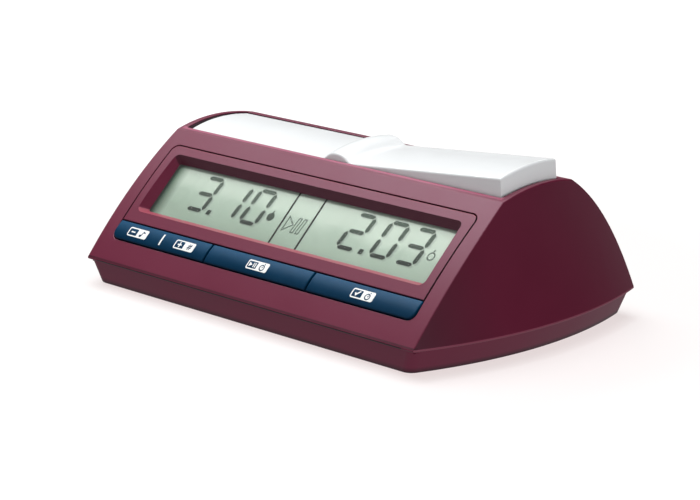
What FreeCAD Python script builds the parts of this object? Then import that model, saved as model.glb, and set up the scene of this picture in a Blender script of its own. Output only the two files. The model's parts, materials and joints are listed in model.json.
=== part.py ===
"""Chess clock with a long rocker lever, built as separate pieces.

Frame: origin on the table under the middle of the clock, +X to the players' right as the
display is read, +Y away from the display side, +Z up.  Millimetres and degrees.
"""
import FreeCAD, Part
import math
import os
from FreeCAD import Placement, Rotation, Vector

# ---------------------------------------------------------------- housing shape
width = 222.0            # over the lip of the upper housing, at its widest
depth = 115.0            # lip front to lip back
foot_height = 0.8        # how far the feet stand below the base
base_height = 9.5        # underside of the base to the lip
slope_angle = 42.7       # sloped front against the table
slope_length = 68.0      # lip to front edge of the rim, along the slope
slope_crown = 2.0        # how far the sloped front bulges
rim_length = 39.7        # front edge of the rim to its back edge
rim_rise = 0.8           # back edge of the rim above its front edge
rim_crown = 2.6
back_crown = 6.6
side_lean = 19.0         # the sides lean in from the lip upwards
side_hollow = 0.85       # and are slightly hollow
side_radius = 141.0      # plan radius of the bowed sides
side_widest = 6.2        # where along Y the clock is widest
edge_round = 0.6         # crisp outer edges of the upper housing
rim_round = 0.5          # edge of the well
recess_round = 0.25
wall = 2.2               # wall of the upper housing

# ---------------------------------------------------------------- insert in the sloped front
recess_low = 11.6        # lip to the recess, along the slope
recess_top_band = 7.5    # recess to the rim, along the slope
recess_side_band = 22.3  # recess to the widest part of the lip
recess_corner = 3.8
recess_depth = 2.05      # below the crowned surface
ledge = 2.0              # thickness of the seat under the insert
ledge_margin = 3.0       # seat reaches this far past the recess
seam = 0.45              # dark gap round the bezel and the keys
key_strip = 8.85         # from the recess edge to the bezel, along the slope
bezel_thickness = 2.0
window_low_band = 14.6   # bottom of the recess to the window's bevel
window_top_band = 3.9
window_side_band = 4.9
window_corner = 3.0
window_depth = 3.67      # crown of the slope down to the lens
window_lip = 0.3         # the bevel is measured this far below the crown
bevel_low = 2.6          # width of the window's bevel seen square on
bevel_high = 3.5
bevel_side = 2.4
view_corner = 1.2
surround = 2.0           # wall of the bezel round the window
surround_gap = 0.4

# ---------------------------------------------------------------- display stack and board
lens_thickness = 1.0
lens_margin = 2.2
stack_gap = 0.2
glass_thickness = 2.0
glass_margin = 1.6
strip_width = 2.0        # elastomer connector strips
strip_inset = 0.8
reflector_thickness = 0.4
frame_wall = 1.2
frame_gap = 0.1
board_depth = 11.0       # crown of the slope down to the face of the main board
board_thickness = 1.6
board_side_margin = 1.8  # board past the recess
board_low = 8.0
board_top_band = 13.0    # board to the rim, along the slope
board_boss_inset = 3.3   # boss to the board's ends
board_boss_low = 6.0
board_boss_high = 5.0
board_boss_radius = 2.4
board_screw_radius = 1.0
board_screw_head = 1.9
board_screw_head_height = 1.3
board_screw_grip = 5.0
thread_gap = 0.02        # screw thread against its pilot hole
shank_gap = 0.15         # screw shank through a plain hole
mat_thickness = 0.8
mat_margin = 5.0
dome_height = 2.0
dome_radius = 3.2
dome_top_radius = 2.2
chip_size = 12.0
chip_thickness = 1.4
chip_place = (24.0, 32.0)  # across, and up the slope
crystal_radius = 1.5
crystal_length = 8.0
crystal_place = (-6.0, 30.0)
socket_size = (14.0, 4.0, 2.5)
socket_inset = 8.0       # middle of the socket to the top of the board

# ---------------------------------------------------------------- keys
key_gap_x = 30.07        # middle of each gap between keys
key_gap = 0.9
key_proud = 0.7          # crown of a key above the sloped front
key_round_radius = 22.0  # roundness of a key across the strip
key_edge = 0.5
key_bottom = 1.2         # underside of the cap below the sloped front
key_travel = 0.8
key_rock = 1.5
stem_x = 4.0
stem_u = 3.0
stem_gap = 0.5
stem_rest_gap = 0.1
rocker_stem_offset = 16.0
hook_offset = 22.0
rocker_hook_offset = 2.6
hook_width = 4.0
hook_leg = 1.2
hook_barb = 0.8
hook_barb_height = 1.2
hook_rest_gap = 0.1
ridge_radius = 0.8

# ---------------------------------------------------------------- rocker lever
rim_front = 2.97         # rim in front of the well
rim_side = 3.7           # rim at the ends of the well
lever_width = 31.2       # front to back
lever_below_rim = 0.37   # wing top at the middle of the front edge, below the rim's front edge
lever_rise = 1.8         # back edge above the front edge
lever_crown = 1.8
wing_angle = 2.5         # each wing rises outwards
tip_angle = 2.6          # lever at rest, right wing up
lever_skirt = 10.5
lever_wall = 2.0
lever_round = 1.0
boss_radius = 10.0
boss_proud = 3.8         # boss above the wing top
boss_blend = 4.0
hub_radius = 4.6
hub_web = 3.0
lever_rib = 1.5
lever_rib_drop = 2.5     # ribs stop short of the skirt's edge
lever_rib_places = (28.0, 56.0)
stop_rib_inset = 4.9     # from the lever's end
stop_rib_width = 2.0
well_gap = 0.5
well_end_gap = 0.6
well_wall = 2.0
well_floor_gap = 2.1     # under the pressed wing
well_floor_thickness = 2.0
axle_radius = 2.0
axle_running_gap = 0.05
axle_seat_gap = 0.02
saddle_thickness = 3.2
saddle_half = 5.0
saddle_gap = 0.45
saddle_mouth = 3.4
saddle_over_axle = 1.6
bush_wall = 1.2
bush_length = 3.5
hub_gap = 0.6            # hub end to saddle
magnet_radius = 3.0
magnet_height = 3.0
magnet_inset = 11.0      # from the stop rib
magnet_cup_wall = 1.2
magnet_rest_gap = 0.5
catch_radius = 4.0
catch_thickness = 1.0
pad_length = 18.0
pad_width = 4.0
pad_rest_gap = 0.1
pad_sink = 0.6

# ---------------------------------------------------------------- base
base_inset = 1.6         # top of the skirt behind the lip
base_front_inset = 2.9
base_back_inset = 3.1
base_side_inset = 6.2
base_corner = 5.0
base_wall = 2.0
base_floor = 2.0
tongue_gap = 0.3
tongue_wall = 1.2
tongue_height = 3.0
foot_radius = 6.0
foot_sink = 1.0
foot_inset_x = 33.0      # from the widest part of the lip
foot_inset_y = 17.5
post_radius = 3.6
post_height = 14.0
post_inset_x = 7.9       # outer posts from the lever's end
post_inset_front = 7.5   # front posts from the lever's front
post_inset_back = 3.1
post_pocket_gap = 14.0   # inner posts from the battery pocket
screw_radius = 1.45
screw_head_radius = 2.7
screw_head_height = 2.2
screw_head_sink = 0.3
screw_top = 25.0
pilot_top = 27.0
battery_inset = 39.5     # middle of the cells to the back of the lip
cell_radius = 7.1
cell_gap = 0.8
cell_length = 49.2
cell_nub_radius = 2.75
cell_nub_length = 1.3
cell_floor_gap = 0.5
pocket_side_gap = 1.0
pocket_wall = 1.6
pocket_head_gap = 0.5
contact_thickness = 0.4
contact_size = 10.0
spring_radius = 4.0
spring_tip_radius = 3.0
spring_length = 6.7
spring_wire = 0.8
lead_radius = 0.7
lead_hole_gap = 0.3
lead_bend = 0.45         # share of the shorter run that each bend takes up
lead_reach = 7.0         # from the contact out to the first bend
lead_spacing = 3.0       # between the two leads
lead_landing = 30.0      # where they reach the main board, along the slope
lead_rise = 6.0          # the longer lead climbs over the shorter one
lead_approach = 8.0
door_margin = 4.0
door_thickness = 1.2
door_gap = 0.35
door_rest_gap = 0.1
door_rib = 1.2
door_rib_height = 1.2
door_rib_gap = 0.5
grip_groove = 0.4
switch_travel = 3.0
slider_plate = (13.0, 8.0, 1.0)
slider_knob = (5.0, 3.8)
slider_gap = 0.15
slider_slot_gap = 0.4
slider_stub = 2.0
switch_body = (13.0, 11.2, 5.0)
switch_rail = 1.2
switch_clearance = 0.4
buzzer_radius = 12.0
buzzer_height = 4.0
buzzer_ring = 1.2
sensor_board_margin = 4.0
sensor_board_width = 8.0
sensor_board_thickness = 1.0
sensor_size = (4.0, 3.0, 1.2)
ribbon_width = 12.0
ribbon_thickness = 0.3
ribbon_sag = 3.0
ribbon_end_gap = 0.2

# ---------------------------------------------------------------- places worked out from the sizes
lip_z = foot_height + base_height
front_y = -depth / 2
back_y = depth / 2
along_slope = Vector(0, math.cos(math.radians(slope_angle)), math.sin(math.radians(slope_angle)))
front_foot = Vector(0, front_y, lip_z)
slope_top = front_foot + along_slope * slope_length
rim_run = math.sqrt(rim_length ** 2 - rim_rise ** 2)
rim_back = slope_top + Vector(0, rim_run, rim_rise)
back_foot = Vector(0, back_y, lip_z)
shoulder_rise = slope_top.z - lip_z
slope_frame = Placement(front_foot, Rotation(Vector(1, 0, 0), slope_angle))
beyond = 5.0             # how far a cutting tool runs past what it cuts

recess_high = slope_length - recess_top_band
recess_half = width / 2 - recess_side_band
window_low = recess_low + window_low_band
window_high = recess_high - window_top_band
window_half = recess_half - window_side_band
view_low = window_low + bevel_low
view_high = window_high - bevel_high
view_half = window_half - bevel_side
board_half = recess_half + board_side_margin
board_high = slope_length - board_top_band
board_boss_x = board_half - board_boss_inset
board_boss_places = (board_low + board_boss_low, board_high - board_boss_high)
socket_place = board_high - socket_inset

nodes = {}


def keep(name, *solids):
    """Store the solids of one node."""
    nodes[name] = Part.makeCompound(list(solids)) if len(solids) > 1 else solids[0]


# ---------------------------------------------------------------- plain building blocks
def block(x0, x1, y0, y1, z0, z1):
    return Part.makeBox(x1 - x0, y1 - y0, z1 - z0, Vector(x0, y0, z0))


def rod(radius, start, end):
    """Cylinder between two points."""
    along = end - start
    return Part.makeCylinder(radius, along.Length, start, along)


def upright(radius, x, y, z0, z1):
    return rod(radius, Vector(x, y, z0), Vector(x, y, z1))


def rounded_outline(half_x, y0, y1, radius, z):
    """Closed wire of a rounded rectangle, centred on x = 0, at height z."""
    bulge = radius * (1 - math.sqrt(0.5))
    edges = []
    corners = ((1, y0, 1), (1, y1, -1), (-1, y1, -1), (-1, y0, 1))
    points = []
    for side, y, inward in corners:
        x = side * half_x
        on_y = Vector(x - side * radius, y, z)
        on_x = Vector(x, y + inward * radius, z)
        middle = Vector(x - side * bulge, y + inward * bulge, z)
        first, last = (on_y, on_x) if side == inward else (on_x, on_y)
        points.append((first, middle, last))
    for number, (first, middle, last) in enumerate(points):
        following = points[(number + 1) % len(points)][0]
        edges.append(Part.Arc(first, middle, last).toShape())
        edges.append(Part.LineSegment(last, following).toShape())
    return Part.Wire(edges)


def rounded_block(half_x, y0, y1, z0, z1, radius):
    face = Part.Face(rounded_outline(half_x, y0, y1, radius, z0))
    return face.extrude(Vector(0, 0, z1 - z0))


def mirrored(shape):
    """The same shape on the other side of x = 0."""
    return shape.mirror(Vector(0, 0, 0), Vector(1, 0, 0))


def joined(first, *others):
    return first.fuse(list(others)).removeSplitter()


# ---------------------------------------------------------------- the housing's outer surfaces
def crown_circle(start, end, crown):
    """Centre and radius of the arc from start to end that bulges to the left by crown."""
    chord = end - start
    radius = (chord.Length ** 2 / 8 + crown ** 2 / 2) / crown
    left = Vector(0, -chord.z, chord.y).normalize()
    return (start + end) * 0.5 + left * (crown - radius), radius


slope_circle = crown_circle(front_foot, slope_top, slope_crown)
rim_circle = crown_circle(slope_top, rim_back, rim_crown)
back_circle = crown_circle(rim_back, back_foot, back_crown)


def circles_meet(first, second, near):
    """The crossing of two (centre, radius) circles that lies nearest to a point."""
    (c1, r1), (c2, r2) = first, second
    between = c2 - c1
    distance = between.Length
    along = (r1 ** 2 - r2 ** 2 + distance ** 2) / (2 * distance)
    across = math.sqrt(r1 ** 2 - along ** 2)
    foot = c1 + between * (along / distance)
    side = Vector(0, -between.z, between.y) * (across / distance)
    return min((foot + side, foot - side), key=lambda point: (point - near).Length)


def at_height(circle, z, side):
    """The point of a circle at height z, on its side -1 (front) or 1 (back)."""
    centre, radius = circle
    return Vector(0, centre.y + side * math.sqrt(radius ** 2 - (z - centre.z) ** 2), z)


def arc_on(circle, start, end):
    """Arc of a circle that bulges upwards between two of its points."""
    centre, radius = circle
    outward = ((start + end) * 0.5 - centre).normalize()
    return Part.Arc(start, centre + outward * radius, end).toShape()


def profile_solid(inset, bottom_z):
    """Side profile of the clock, moved in by inset, run across the whole width."""
    slope, rim, back = [(c, r - inset) for c, r in (slope_circle, rim_circle, back_circle)]
    a = at_height(slope, bottom_z, -1)
    b = circles_meet(slope, rim, slope_top)
    c = circles_meet(rim, back, rim_back)
    d = at_height(back, bottom_z, 1)
    edges = [arc_on(slope, a, b), arc_on(rim, b, c), arc_on(back, c, d)]
    edges.append(Part.LineSegment(d, a).toShape())
    face = Part.Face(Part.Wire(edges))
    face.translate(Vector(-width, 0, 0))
    return face.extrude(Vector(2 * width, 0, 0))


def half_width(z):
    """Half width of the upper housing at its widest Y, at height z."""
    share = (z - lip_z) / shoulder_rise
    lean = math.tan(math.radians(side_lean)) * (z - lip_z)
    return width / 2 - lean - 4 * side_hollow * share * (1 - share)


def bow(y, radius=side_radius):
    """How far the bowed side has come in at y."""
    return radius - math.sqrt(radius ** 2 - (y - side_widest) ** 2)


def plan_wire(half, y0, y1, z):
    """Closed plan outline with bowed sides."""
    y_mid = (y0 + y1) / 2
    right = [Vector(half - bow(y), y, z) for y in (y0, y_mid, y1)]
    left = [Vector(-p.x, p.y, z) for p in right]
    edges = [
        Part.Arc(right[0], right[1], right[2]).toShape(),
        Part.LineSegment(right[2], left[2]).toShape(),
        Part.Arc(left[2], left[1], left[0]).toShape(),
        Part.LineSegment(left[0], right[0]).toShape(),
    ]
    return Part.Wire(edges)


def plan_solid(inset):
    """Everything between the housing's two bowed, leaning sides, moved in by inset."""
    low = lip_z - beyond
    high = slope_top.z + 2 * beyond
    heights = (low, (low + high) / 2, high)
    y0, y1 = front_y - 1, back_y + 1
    return Part.makeLoft([plan_wire(half_width(z) - inset, y0, y1, z) for z in heights], True)


def housing_solid(inset, bottom_z):
    return plan_solid(inset).common(profile_solid(inset, bottom_z))


def bowed_block(half, y0, y1, z0, z1):
    """Upright block whose ends follow the bowed sides."""
    return Part.Face(plan_wire(half, y0, y1, z0)).extrude(Vector(0, 0, z1 - z0))


# ---------------------------------------------------------------- the sloped front's own frame
def on_slope(shape):
    """Carry a shape from slope coordinates (x, up the slope, outwards) to the clock."""
    moved = shape.copy()
    moved.Placement = slope_frame.multiply(moved.Placement)
    return moved


def under_crown(offset):
    """Everything below the crowned slope surface moved out by offset, in slope coordinates."""
    radius = slope_circle[1]
    centre = Vector(-width, slope_length / 2, slope_crown - radius)
    return Part.makeCylinder(radius + offset, 2 * width, centre, Vector(1, 0, 0))


def crown_height(u):
    """Height of the crowned surface above its chord, at u along the slope."""
    radius = slope_circle[1]
    return slope_crown - radius + math.sqrt(radius ** 2 - (u - slope_length / 2) ** 2)


lens_top = slope_crown - window_depth
lens_bottom = lens_top - lens_thickness
glass_top = lens_bottom - stack_gap
glass_bottom = glass_top - glass_thickness
board_top = slope_crown - board_depth
board_bottom = board_top - board_thickness
tool_low = board_top
tool_high = slope_crown + beyond
bezel_low = recess_low + key_strip + seam
key_low = recess_low + seam
key_high = recess_low + key_strip
key_middle = (key_low + key_high) / 2
insert_half = recess_half - seam
ledge_bottom = recess_depth + ledge
key_ledge_top = crown_height(key_middle) - recess_depth
key_ledge_bottom = crown_height(key_middle) - ledge_bottom
dome_top = board_top + mat_thickness + dome_height
outer_key_middle = (key_gap_x + key_gap / 2 + insert_half) / 2


def insert_block(grow, low, high):
    """The rounded outline of the recess, grown or shrunk all round."""
    return rounded_block(
        recess_half + grow, recess_low - grow, recess_high + grow, low, high, recess_corner + grow)


# ---------------------------------------------------------------- the lever's own shape
well_front = slope_top.y + rim_front
well_half = half_width(slope_top.z) - rim_side
lever_front = well_front + well_gap
lever_back = lever_front + lever_width
lever_half = well_half - well_end_gap
lever_top = slope_top.z - lever_below_rim
pivot_height = lever_top + boss_proud - boss_radius
stop_rib_x = lever_half - stop_rib_inset
magnet_x = stop_rib_x - magnet_inset
lever_middle = (lever_front + lever_back) / 2
rise_of_wing = math.tan(math.radians(wing_angle))
blend_reach = boss_radius + boss_blend


def lever_lift(y):
    """Height of the arched lever top above its front edge, at y."""
    share = (y - lever_front) / (lever_back - lever_front)
    return lever_rise * share + 4 * lever_crown * share * (1 - share)


def blend_centre():
    """Centre of the hollow curve between the boss and the right wing, front outline."""
    top = lever_top - pivot_height + boss_blend / math.cos(math.radians(wing_angle))
    a = 1 + rise_of_wing ** 2
    b = 2 * rise_of_wing * top
    c = top ** 2 - blend_reach ** 2
    x = (-b + math.sqrt(b ** 2 - 4 * a * c)) / (2 * a)
    return Vector(x, 0, pivot_height + top + rise_of_wing * x)


def lever_outline(inset, half, y, z_shift, skirt):
    """Closed front outline of the level lever at y: wings, boss and hollow blends."""
    centre = blend_centre()
    hub = Vector(0, 0, pivot_height)
    to_hub = (hub - centre).normalize()
    lean = math.radians(wing_angle)
    wing_normal = Vector(-math.sin(lean), 0, math.cos(lean))
    blend = boss_blend + inset
    on_boss = centre + to_hub * blend
    on_wing = centre - wing_normal * blend
    halfway = centre + (to_hub - wing_normal).normalize() * blend
    boss_top = hub + Vector(0, 0, boss_radius - inset)
    end_x = half - inset
    drop = inset / math.cos(lean)
    end_top = Vector(end_x, 0, lever_top - drop + rise_of_wing * end_x)
    end_low = Vector(end_x, 0, lever_top - skirt + rise_of_wing * end_x)
    middle_low = Vector(0, 0, lever_top - skirt)

    def place(point, side):
        return Vector(side * point.x, y, point.z + z_shift)

    edges = [Part.Arc(place(on_boss, -1), place(boss_top, 1), place(on_boss, 1)).toShape()]
    edges.append(Part.Arc(place(on_boss, 1), place(halfway, 1), place(on_wing, 1)).toShape())
    edges.append(Part.LineSegment(place(on_wing, 1), place(end_top, 1)).toShape())
    edges.append(Part.LineSegment(place(end_top, 1), place(end_low, 1)).toShape())
    edges.append(Part.LineSegment(place(end_low, 1), place(middle_low, 1)).toShape())
    edges.append(Part.LineSegment(place(middle_low, 1), place(end_low, -1)).toShape())
    edges.append(Part.LineSegment(place(end_low, -1), place(end_top, -1)).toShape())
    edges.append(Part.LineSegment(place(end_top, -1), place(on_wing, -1)).toShape())
    edges.append(Part.Arc(place(on_wing, -1), place(halfway, -1), place(on_boss, -1)).toShape())
    return Part.Wire(edges)


def lever_body(inset, skirt):
    """Solid lever moved in by inset at its top, front and back, with a V-shaped underside."""
    y0, y1 = lever_front + inset, lever_back - inset
    places = (y0, (y0 + y1) / 2, y1)
    half = width / 2
    sections = [lever_outline(inset, half, y, lever_lift(y), skirt + lever_lift(y)) for y in places]
    low = pivot_height - 3 * lever_skirt
    ends = bowed_block(lever_half - inset, y0 - 1, y1 + 1, low, lip_z + depth)
    return Part.makeLoft(sections, True).common(ends)


def tipped(shape, angle=-tip_angle):
    """Turn a level lever piece about the axle to its rest position."""
    turned = shape.copy()
    turned.rotate(Vector(0, 0, pivot_height), Vector(0, 1, 0), angle)
    return turned


def wing_underside(x):
    """Height of the skirt's lower edge of the level lever at x."""
    return lever_top - lever_skirt + rise_of_wing * abs(x)


def lowest_when_pressed(x, z):
    """Height that a point on a wing reaches when that wing is pressed down."""
    turn = math.radians(tip_angle)
    return pivot_height + (z - pivot_height) * math.cos(turn) - abs(x) * math.sin(turn)


well_back = lever_back + well_gap
well_floor = lowest_when_pressed(lever_half, wing_underside(lever_half)) - well_floor_gap
well_underside = well_floor - well_floor_thickness
saddle_front = lever_front + lever_wall + saddle_gap
saddle_back = lever_back - lever_wall - saddle_gap
hub_front = saddle_front + saddle_thickness + hub_gap
hub_back = saddle_back - saddle_thickness - hub_gap
bush_radius = axle_radius + axle_running_gap + bush_wall

# battery pocket
cell_pitch = 2 * cell_radius + cell_gap
pocket_half_x = (cell_length + cell_nub_length + spring_length) / 2 + contact_thickness
pocket_half_y = cell_pitch / 2 + cell_radius + pocket_side_gap

# heights in the base
floor_bottom = foot_height
floor_top = foot_height + base_floor
cell_z = floor_top + cell_floor_gap + cell_radius
pocket_top = cell_z + cell_radius + pocket_head_gap
battery_y = back_y - battery_inset
post_x = lever_half - post_inset_x
inner_post_x = pocket_half_x + post_pocket_gap
post_front = lever_front + post_inset_front
post_back = lever_back - post_inset_back
screw_places = ((post_x, post_front), (post_x, post_back), (inner_post_x, post_front))
screw_spots = [(side * x, y) for side in (-1, 1) for x, y in screw_places]
foot_spots = [(sx * (width / 2 - foot_inset_x), sy * (depth / 2 - foot_inset_y))
              for sx in (-1, 1) for sy in (-1, 1)]
switch_x = (post_x + inner_post_x) / 2
switch_y = (post_front + post_back) / 2
buzzer_x, buzzer_y = -switch_x, switch_y


# ---------------------------------------------------------------- upper housing
def key_hooks(middle, offset):
    """(x, direction of the barb) of the two hooks of a key."""
    return ((middle - offset, -1), (middle + offset, 1))


key_layout = {
    "key_minus_plus": (-outer_key_middle, rocker_stem_offset, rocker_hook_offset),
    "key_start_pause": (0.0, 0.0, hook_offset),
    "key_confirm": (outer_key_middle, 0.0, hook_offset),
}


def stems_of(middle, stem_offset):
    return (middle - stem_offset, middle + stem_offset) if stem_offset else (middle,)


def key_holes():
    """Holes through the seat for key stems and hooks, in slope coordinates."""
    tools = []
    for middle, stem_offset, offset in key_layout.values():
        for x in stems_of(middle, stem_offset):
            half_x, half_u = stem_x / 2 + stem_gap, stem_u / 2 + stem_gap
            tools.append(block(x - half_x, x + half_x, key_middle - half_u, key_middle + half_u,
                               tool_low, tool_high))
        for x, way in key_hooks(middle, offset):
            reach = (x - way * (hook_leg + stem_gap), x + way * (hook_barb + stem_gap))
            half_u = hook_width / 2 + stem_gap
            tools.append(block(min(reach), max(reach), key_middle - half_u, key_middle + half_u,
                               tool_low, tool_high))
    return tools


def board_bosses():
    """Posts under the seat that carry the main board, in slope coordinates."""
    bosses, pilots = [], []
    for x in (-board_boss_x, board_boss_x):
        for u in board_boss_places:
            top = crown_height(u) - recess_depth - ledge / 2
            bosses.append(upright(board_boss_radius, x, u, board_top, top))
            pilots.append(upright(board_screw_radius + thread_gap, x, u, board_top - 1,
                                  board_top + board_screw_grip + 0.5))
    return bosses, pilots


def saddle(y0, y1):
    """Post in the well that holds one end of the axle in an open-topped seat."""
    top = pivot_height + axle_radius + saddle_over_axle
    post = block(-saddle_half, saddle_half, y0, y1, well_floor - 1, top)
    seat = rod(axle_radius + axle_seat_gap, Vector(0, y0 - 1, pivot_height), Vector(0, y1 + 1, pivot_height))
    mouth = block(-saddle_mouth / 2, saddle_mouth / 2, y0 - 1, y1 + 1, pivot_height, top + 1)
    return post.cut([seat, mouth])


def is_well_edge(edge):
    """Edges round the mouth of the well."""
    box = edge.BoundBox
    inside_y = well_front - 0.1 < box.YMin and box.YMax < well_back + 0.1
    return inside_y and box.ZMin > slope_top.z - 0.5 and box.DiagonalLength > 5


def is_recess_edge(edge):
    """Edges where the recess cuts the crowned slope surface."""
    radius = slope_circle[1]
    centre = slope_frame.multVec(Vector(0, slope_length / 2, slope_crown - radius))
    if edge.Degenerated:
        return False
    first, last = edge.ParameterRange
    for share in (0.1, 0.5, 0.9):
        point = edge.valueAt(first + share * (last - first))
        if abs(Vector(0, point.y - centre.y, point.z - centre.z).Length - radius) > 0.01:
            return False
        local = slope_frame.inverse().multVec(point)
        if not (recess_low - 0.1 < local.y < recess_high + 0.1 and abs(local.x) < recess_half + 0.1):
            return False
    return True


def make_upper_housing():
    outer = housing_solid(0, lip_z)
    outer = outer.makeFillet(edge_round, outer.Edges)
    shell = outer.cut(housing_solid(wall, lip_z - 1))

    seat_region = on_slope(insert_block(ledge_margin, tool_low, tool_high))
    seat_layer = on_slope(under_crown(-1)).common(seat_region).cut(on_slope(under_crown(-ledge_bottom)))
    seat = seat_layer.common(housing_solid(0.5, lip_z))
    bosses, pilots = board_bosses()

    trough = bowed_block(well_half + well_wall, well_front - well_wall, well_back + well_wall,
                         well_underside, slope_top.z + 2 * beyond)
    trough = trough.common(housing_solid(0.5, lip_z))
    posts = [upright(post_radius, x, y, post_height, well_underside) for x, y in screw_spots]
    body = shell.fuse([seat, trough] + [on_slope(b) for b in bosses] + posts)

    cuts = [bowed_block(well_half, well_front, well_back, well_floor, slope_top.z + 2 * beyond)]
    recess = insert_block(0, tool_low, tool_high).cut(under_crown(-recess_depth))
    cuts.append(on_slope(recess))
    opening = rounded_block(window_half + surround + surround_gap, window_low - surround - surround_gap,
                            window_high + surround + surround_gap, tool_low, tool_high, window_corner)
    cuts.append(on_slope(opening))
    cuts += [on_slope(tool) for tool in key_holes() + pilots]
    cuts += [upright(screw_radius + thread_gap, x, y, post_height - 1, pilot_top) for x, y in screw_spots]
    for side in (-1, 1):
        cuts.append(upright(catch_radius, side * magnet_x, lever_middle, well_floor - catch_thickness,
                            well_floor + 1))
        cuts.append(pad_block(side, well_floor - pad_sink, well_floor + 1))
    body = body.cut(cuts)
    well_edges = [e for e in body.Edges if is_well_edge(e)]
    body = body.makeFillet(rim_round, well_edges)
    recess_edges = [e for e in body.Edges if is_recess_edge(e)]
    body = body.makeFillet(recess_round, recess_edges)
    body = body.fuse([saddle(saddle_front, saddle_front + saddle_thickness),
                      saddle(saddle_back - saddle_thickness, saddle_back)])
    keep("upper_housing", body.removeSplitter())


def pad_block(side, z0, z1):
    x = side * stop_rib_x
    half_y = pad_length / 2
    return block(x - pad_width / 2, x + pad_width / 2, lever_middle - half_y, lever_middle + half_y, z0, z1)


# ---------------------------------------------------------------- bezel, lens and display
def window_tool():
    """Tapered opening of the display window, widening from the lens to the surface."""
    bevel_top = slope_crown - window_lip
    stretch = (tool_high - lens_top) / (bevel_top - lens_top)
    low = view_low - (view_low - window_low) * stretch
    high = view_high + (window_high - view_high) * stretch
    half = view_half + (window_half - view_half) * stretch
    corner = view_corner + (window_corner - view_corner) * stretch
    inner = rounded_outline(view_half, view_low, view_high, view_corner, lens_top)
    outer = rounded_outline(half, low, high, corner, tool_high)
    return Part.makeLoft([inner, outer], True, True)


def make_bezel():
    outline = insert_block(-seam, tool_low, tool_high)
    strip = block(-width, width, bezel_low, slope_length, tool_low, tool_high)
    plate = outline.common(strip).common(under_crown(0))
    plate = plate.makeFillet(edge_round / 2, [e for e in plate.Edges if e.BoundBox.ZMin > -1])
    plate = plate.cut(under_crown(-bezel_thickness))
    well = rounded_block(window_half + surround, window_low - surround, window_high + surround,
                         lens_top, tool_high, window_corner).common(under_crown(-bezel_thickness / 2))
    bezel = plate.fuse(well).cut(window_tool())
    keep("display_bezel", on_slope(bezel.removeSplitter()))


def make_display():
    lens = rounded_block(view_half + lens_margin, view_low - lens_margin, view_high + lens_margin,
                         lens_bottom, lens_top, 1.0)
    keep("display_lens", on_slope(lens))
    low, high = view_low - glass_margin, view_high + glass_margin
    half = view_half + glass_margin
    keep("display_glass", on_slope(block(-half, half, low, high, glass_bottom, glass_top)))

    strip_low = low + strip_inset
    strip_high = high - strip_inset - strip_width
    strips = [block(-half + 2, half - 2, u, u + strip_width, board_top, glass_bottom)
              for u in (strip_low, strip_high)]
    keep("connector_strips", *[on_slope(s) for s in strips])
    reflector = block(-half + 2, half - 2, strip_low + strip_width + 0.6, strip_high - 0.6,
                      glass_bottom - reflector_thickness, glass_bottom)
    keep("display_reflector", on_slope(reflector))

    gap, rim = frame_gap, frame_wall
    outside = block(-half - gap - rim, half + gap + rim, low - gap - rim, high + gap + rim,
                    board_top, glass_top - frame_gap)
    pocket = block(-half - gap, half + gap, low - gap, high + gap, glass_bottom, glass_top + 1)
    strip_room = block(-half + 1, half - 1, strip_low - 0.2, strip_high + strip_width + 0.2,
                       board_top - 1, glass_bottom + 1)
    keep("display_holder", on_slope(outside.cut([pocket, strip_room])))


# ---------------------------------------------------------------- keys and dome mat
def make_key(name, x0, x1):
    middle, stem_offset, offset = key_layout[name]
    outline = insert_block(-seam, tool_low, tool_high)
    strip = block(x0, x1, key_low, key_high, tool_low, tool_high)
    crown = Part.makeCylinder(
        key_round_radius, x1 - x0,
        Vector(x0, key_middle, crown_height(key_middle) + key_proud - key_round_radius), Vector(1, 0, 0))
    cap = outline.common(strip).common(crown)
    cap = cap.makeFillet(key_edge, [e for e in cap.Edges if e.BoundBox.ZMin > 0])
    cap = cap.cut(under_crown(-key_bottom))
    top = crown_height(key_middle) - key_bottom / 2
    pieces = [block(x - stem_x / 2, x + stem_x / 2, key_middle - stem_u / 2, key_middle + stem_u / 2,
                    dome_top + stem_rest_gap, top) for x in stems_of(middle, stem_offset)]
    barb_top = key_ledge_bottom - hook_rest_gap - (crown_height(key_middle) - crown_height(key_low))
    for x, way in key_hooks(middle, offset):
        leg = sorted((x, x - way * hook_leg))
        barb = sorted((x - way * hook_leg, x + way * hook_barb))
        u0, u1 = key_middle - hook_width / 2, key_middle + hook_width / 2
        pieces.append(block(leg[0], leg[1], u0, u1, barb_top - hook_barb_height, top))
        pieces.append(block(barb[0], barb[1], u0, u1, barb_top - hook_barb_height, barb_top))
    if stem_offset:
        ridge = Part.makeCylinder(ridge_radius, key_high - key_low - 2,
                                  Vector(middle, key_low + 1, key_ledge_top + ridge_radius + hook_rest_gap),
                                  Vector(0, 1, 0))
        pieces.append(ridge.common(under_crown(-key_bottom / 2)).cut(under_crown(-recess_depth + hook_rest_gap)))
    keep(name, on_slope(joined(cap, *pieces)))


def make_keys():
    edge = key_gap_x - key_gap / 2
    make_key("key_minus_plus", -insert_half - 1, -key_gap_x - key_gap / 2)
    make_key("key_start_pause", -edge, edge)
    make_key("key_confirm", key_gap_x + key_gap / 2, insert_half + 1)

    mat_half = outer_key_middle + rocker_stem_offset + mat_margin
    mat = block(-mat_half, mat_half, key_low - 0.5, key_high + 0.5, board_top, board_top + mat_thickness)
    domes = []
    for middle, stem_offset, offset in key_layout.values():
        for x in stems_of(middle, stem_offset):
            base = Vector(x, key_middle, board_top + mat_thickness)
            domes.append(Part.makeCone(dome_radius, dome_top_radius, dome_height, base, Vector(0, 0, 1)))
    keep("dome_mat", on_slope(joined(mat, *domes)))


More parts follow.
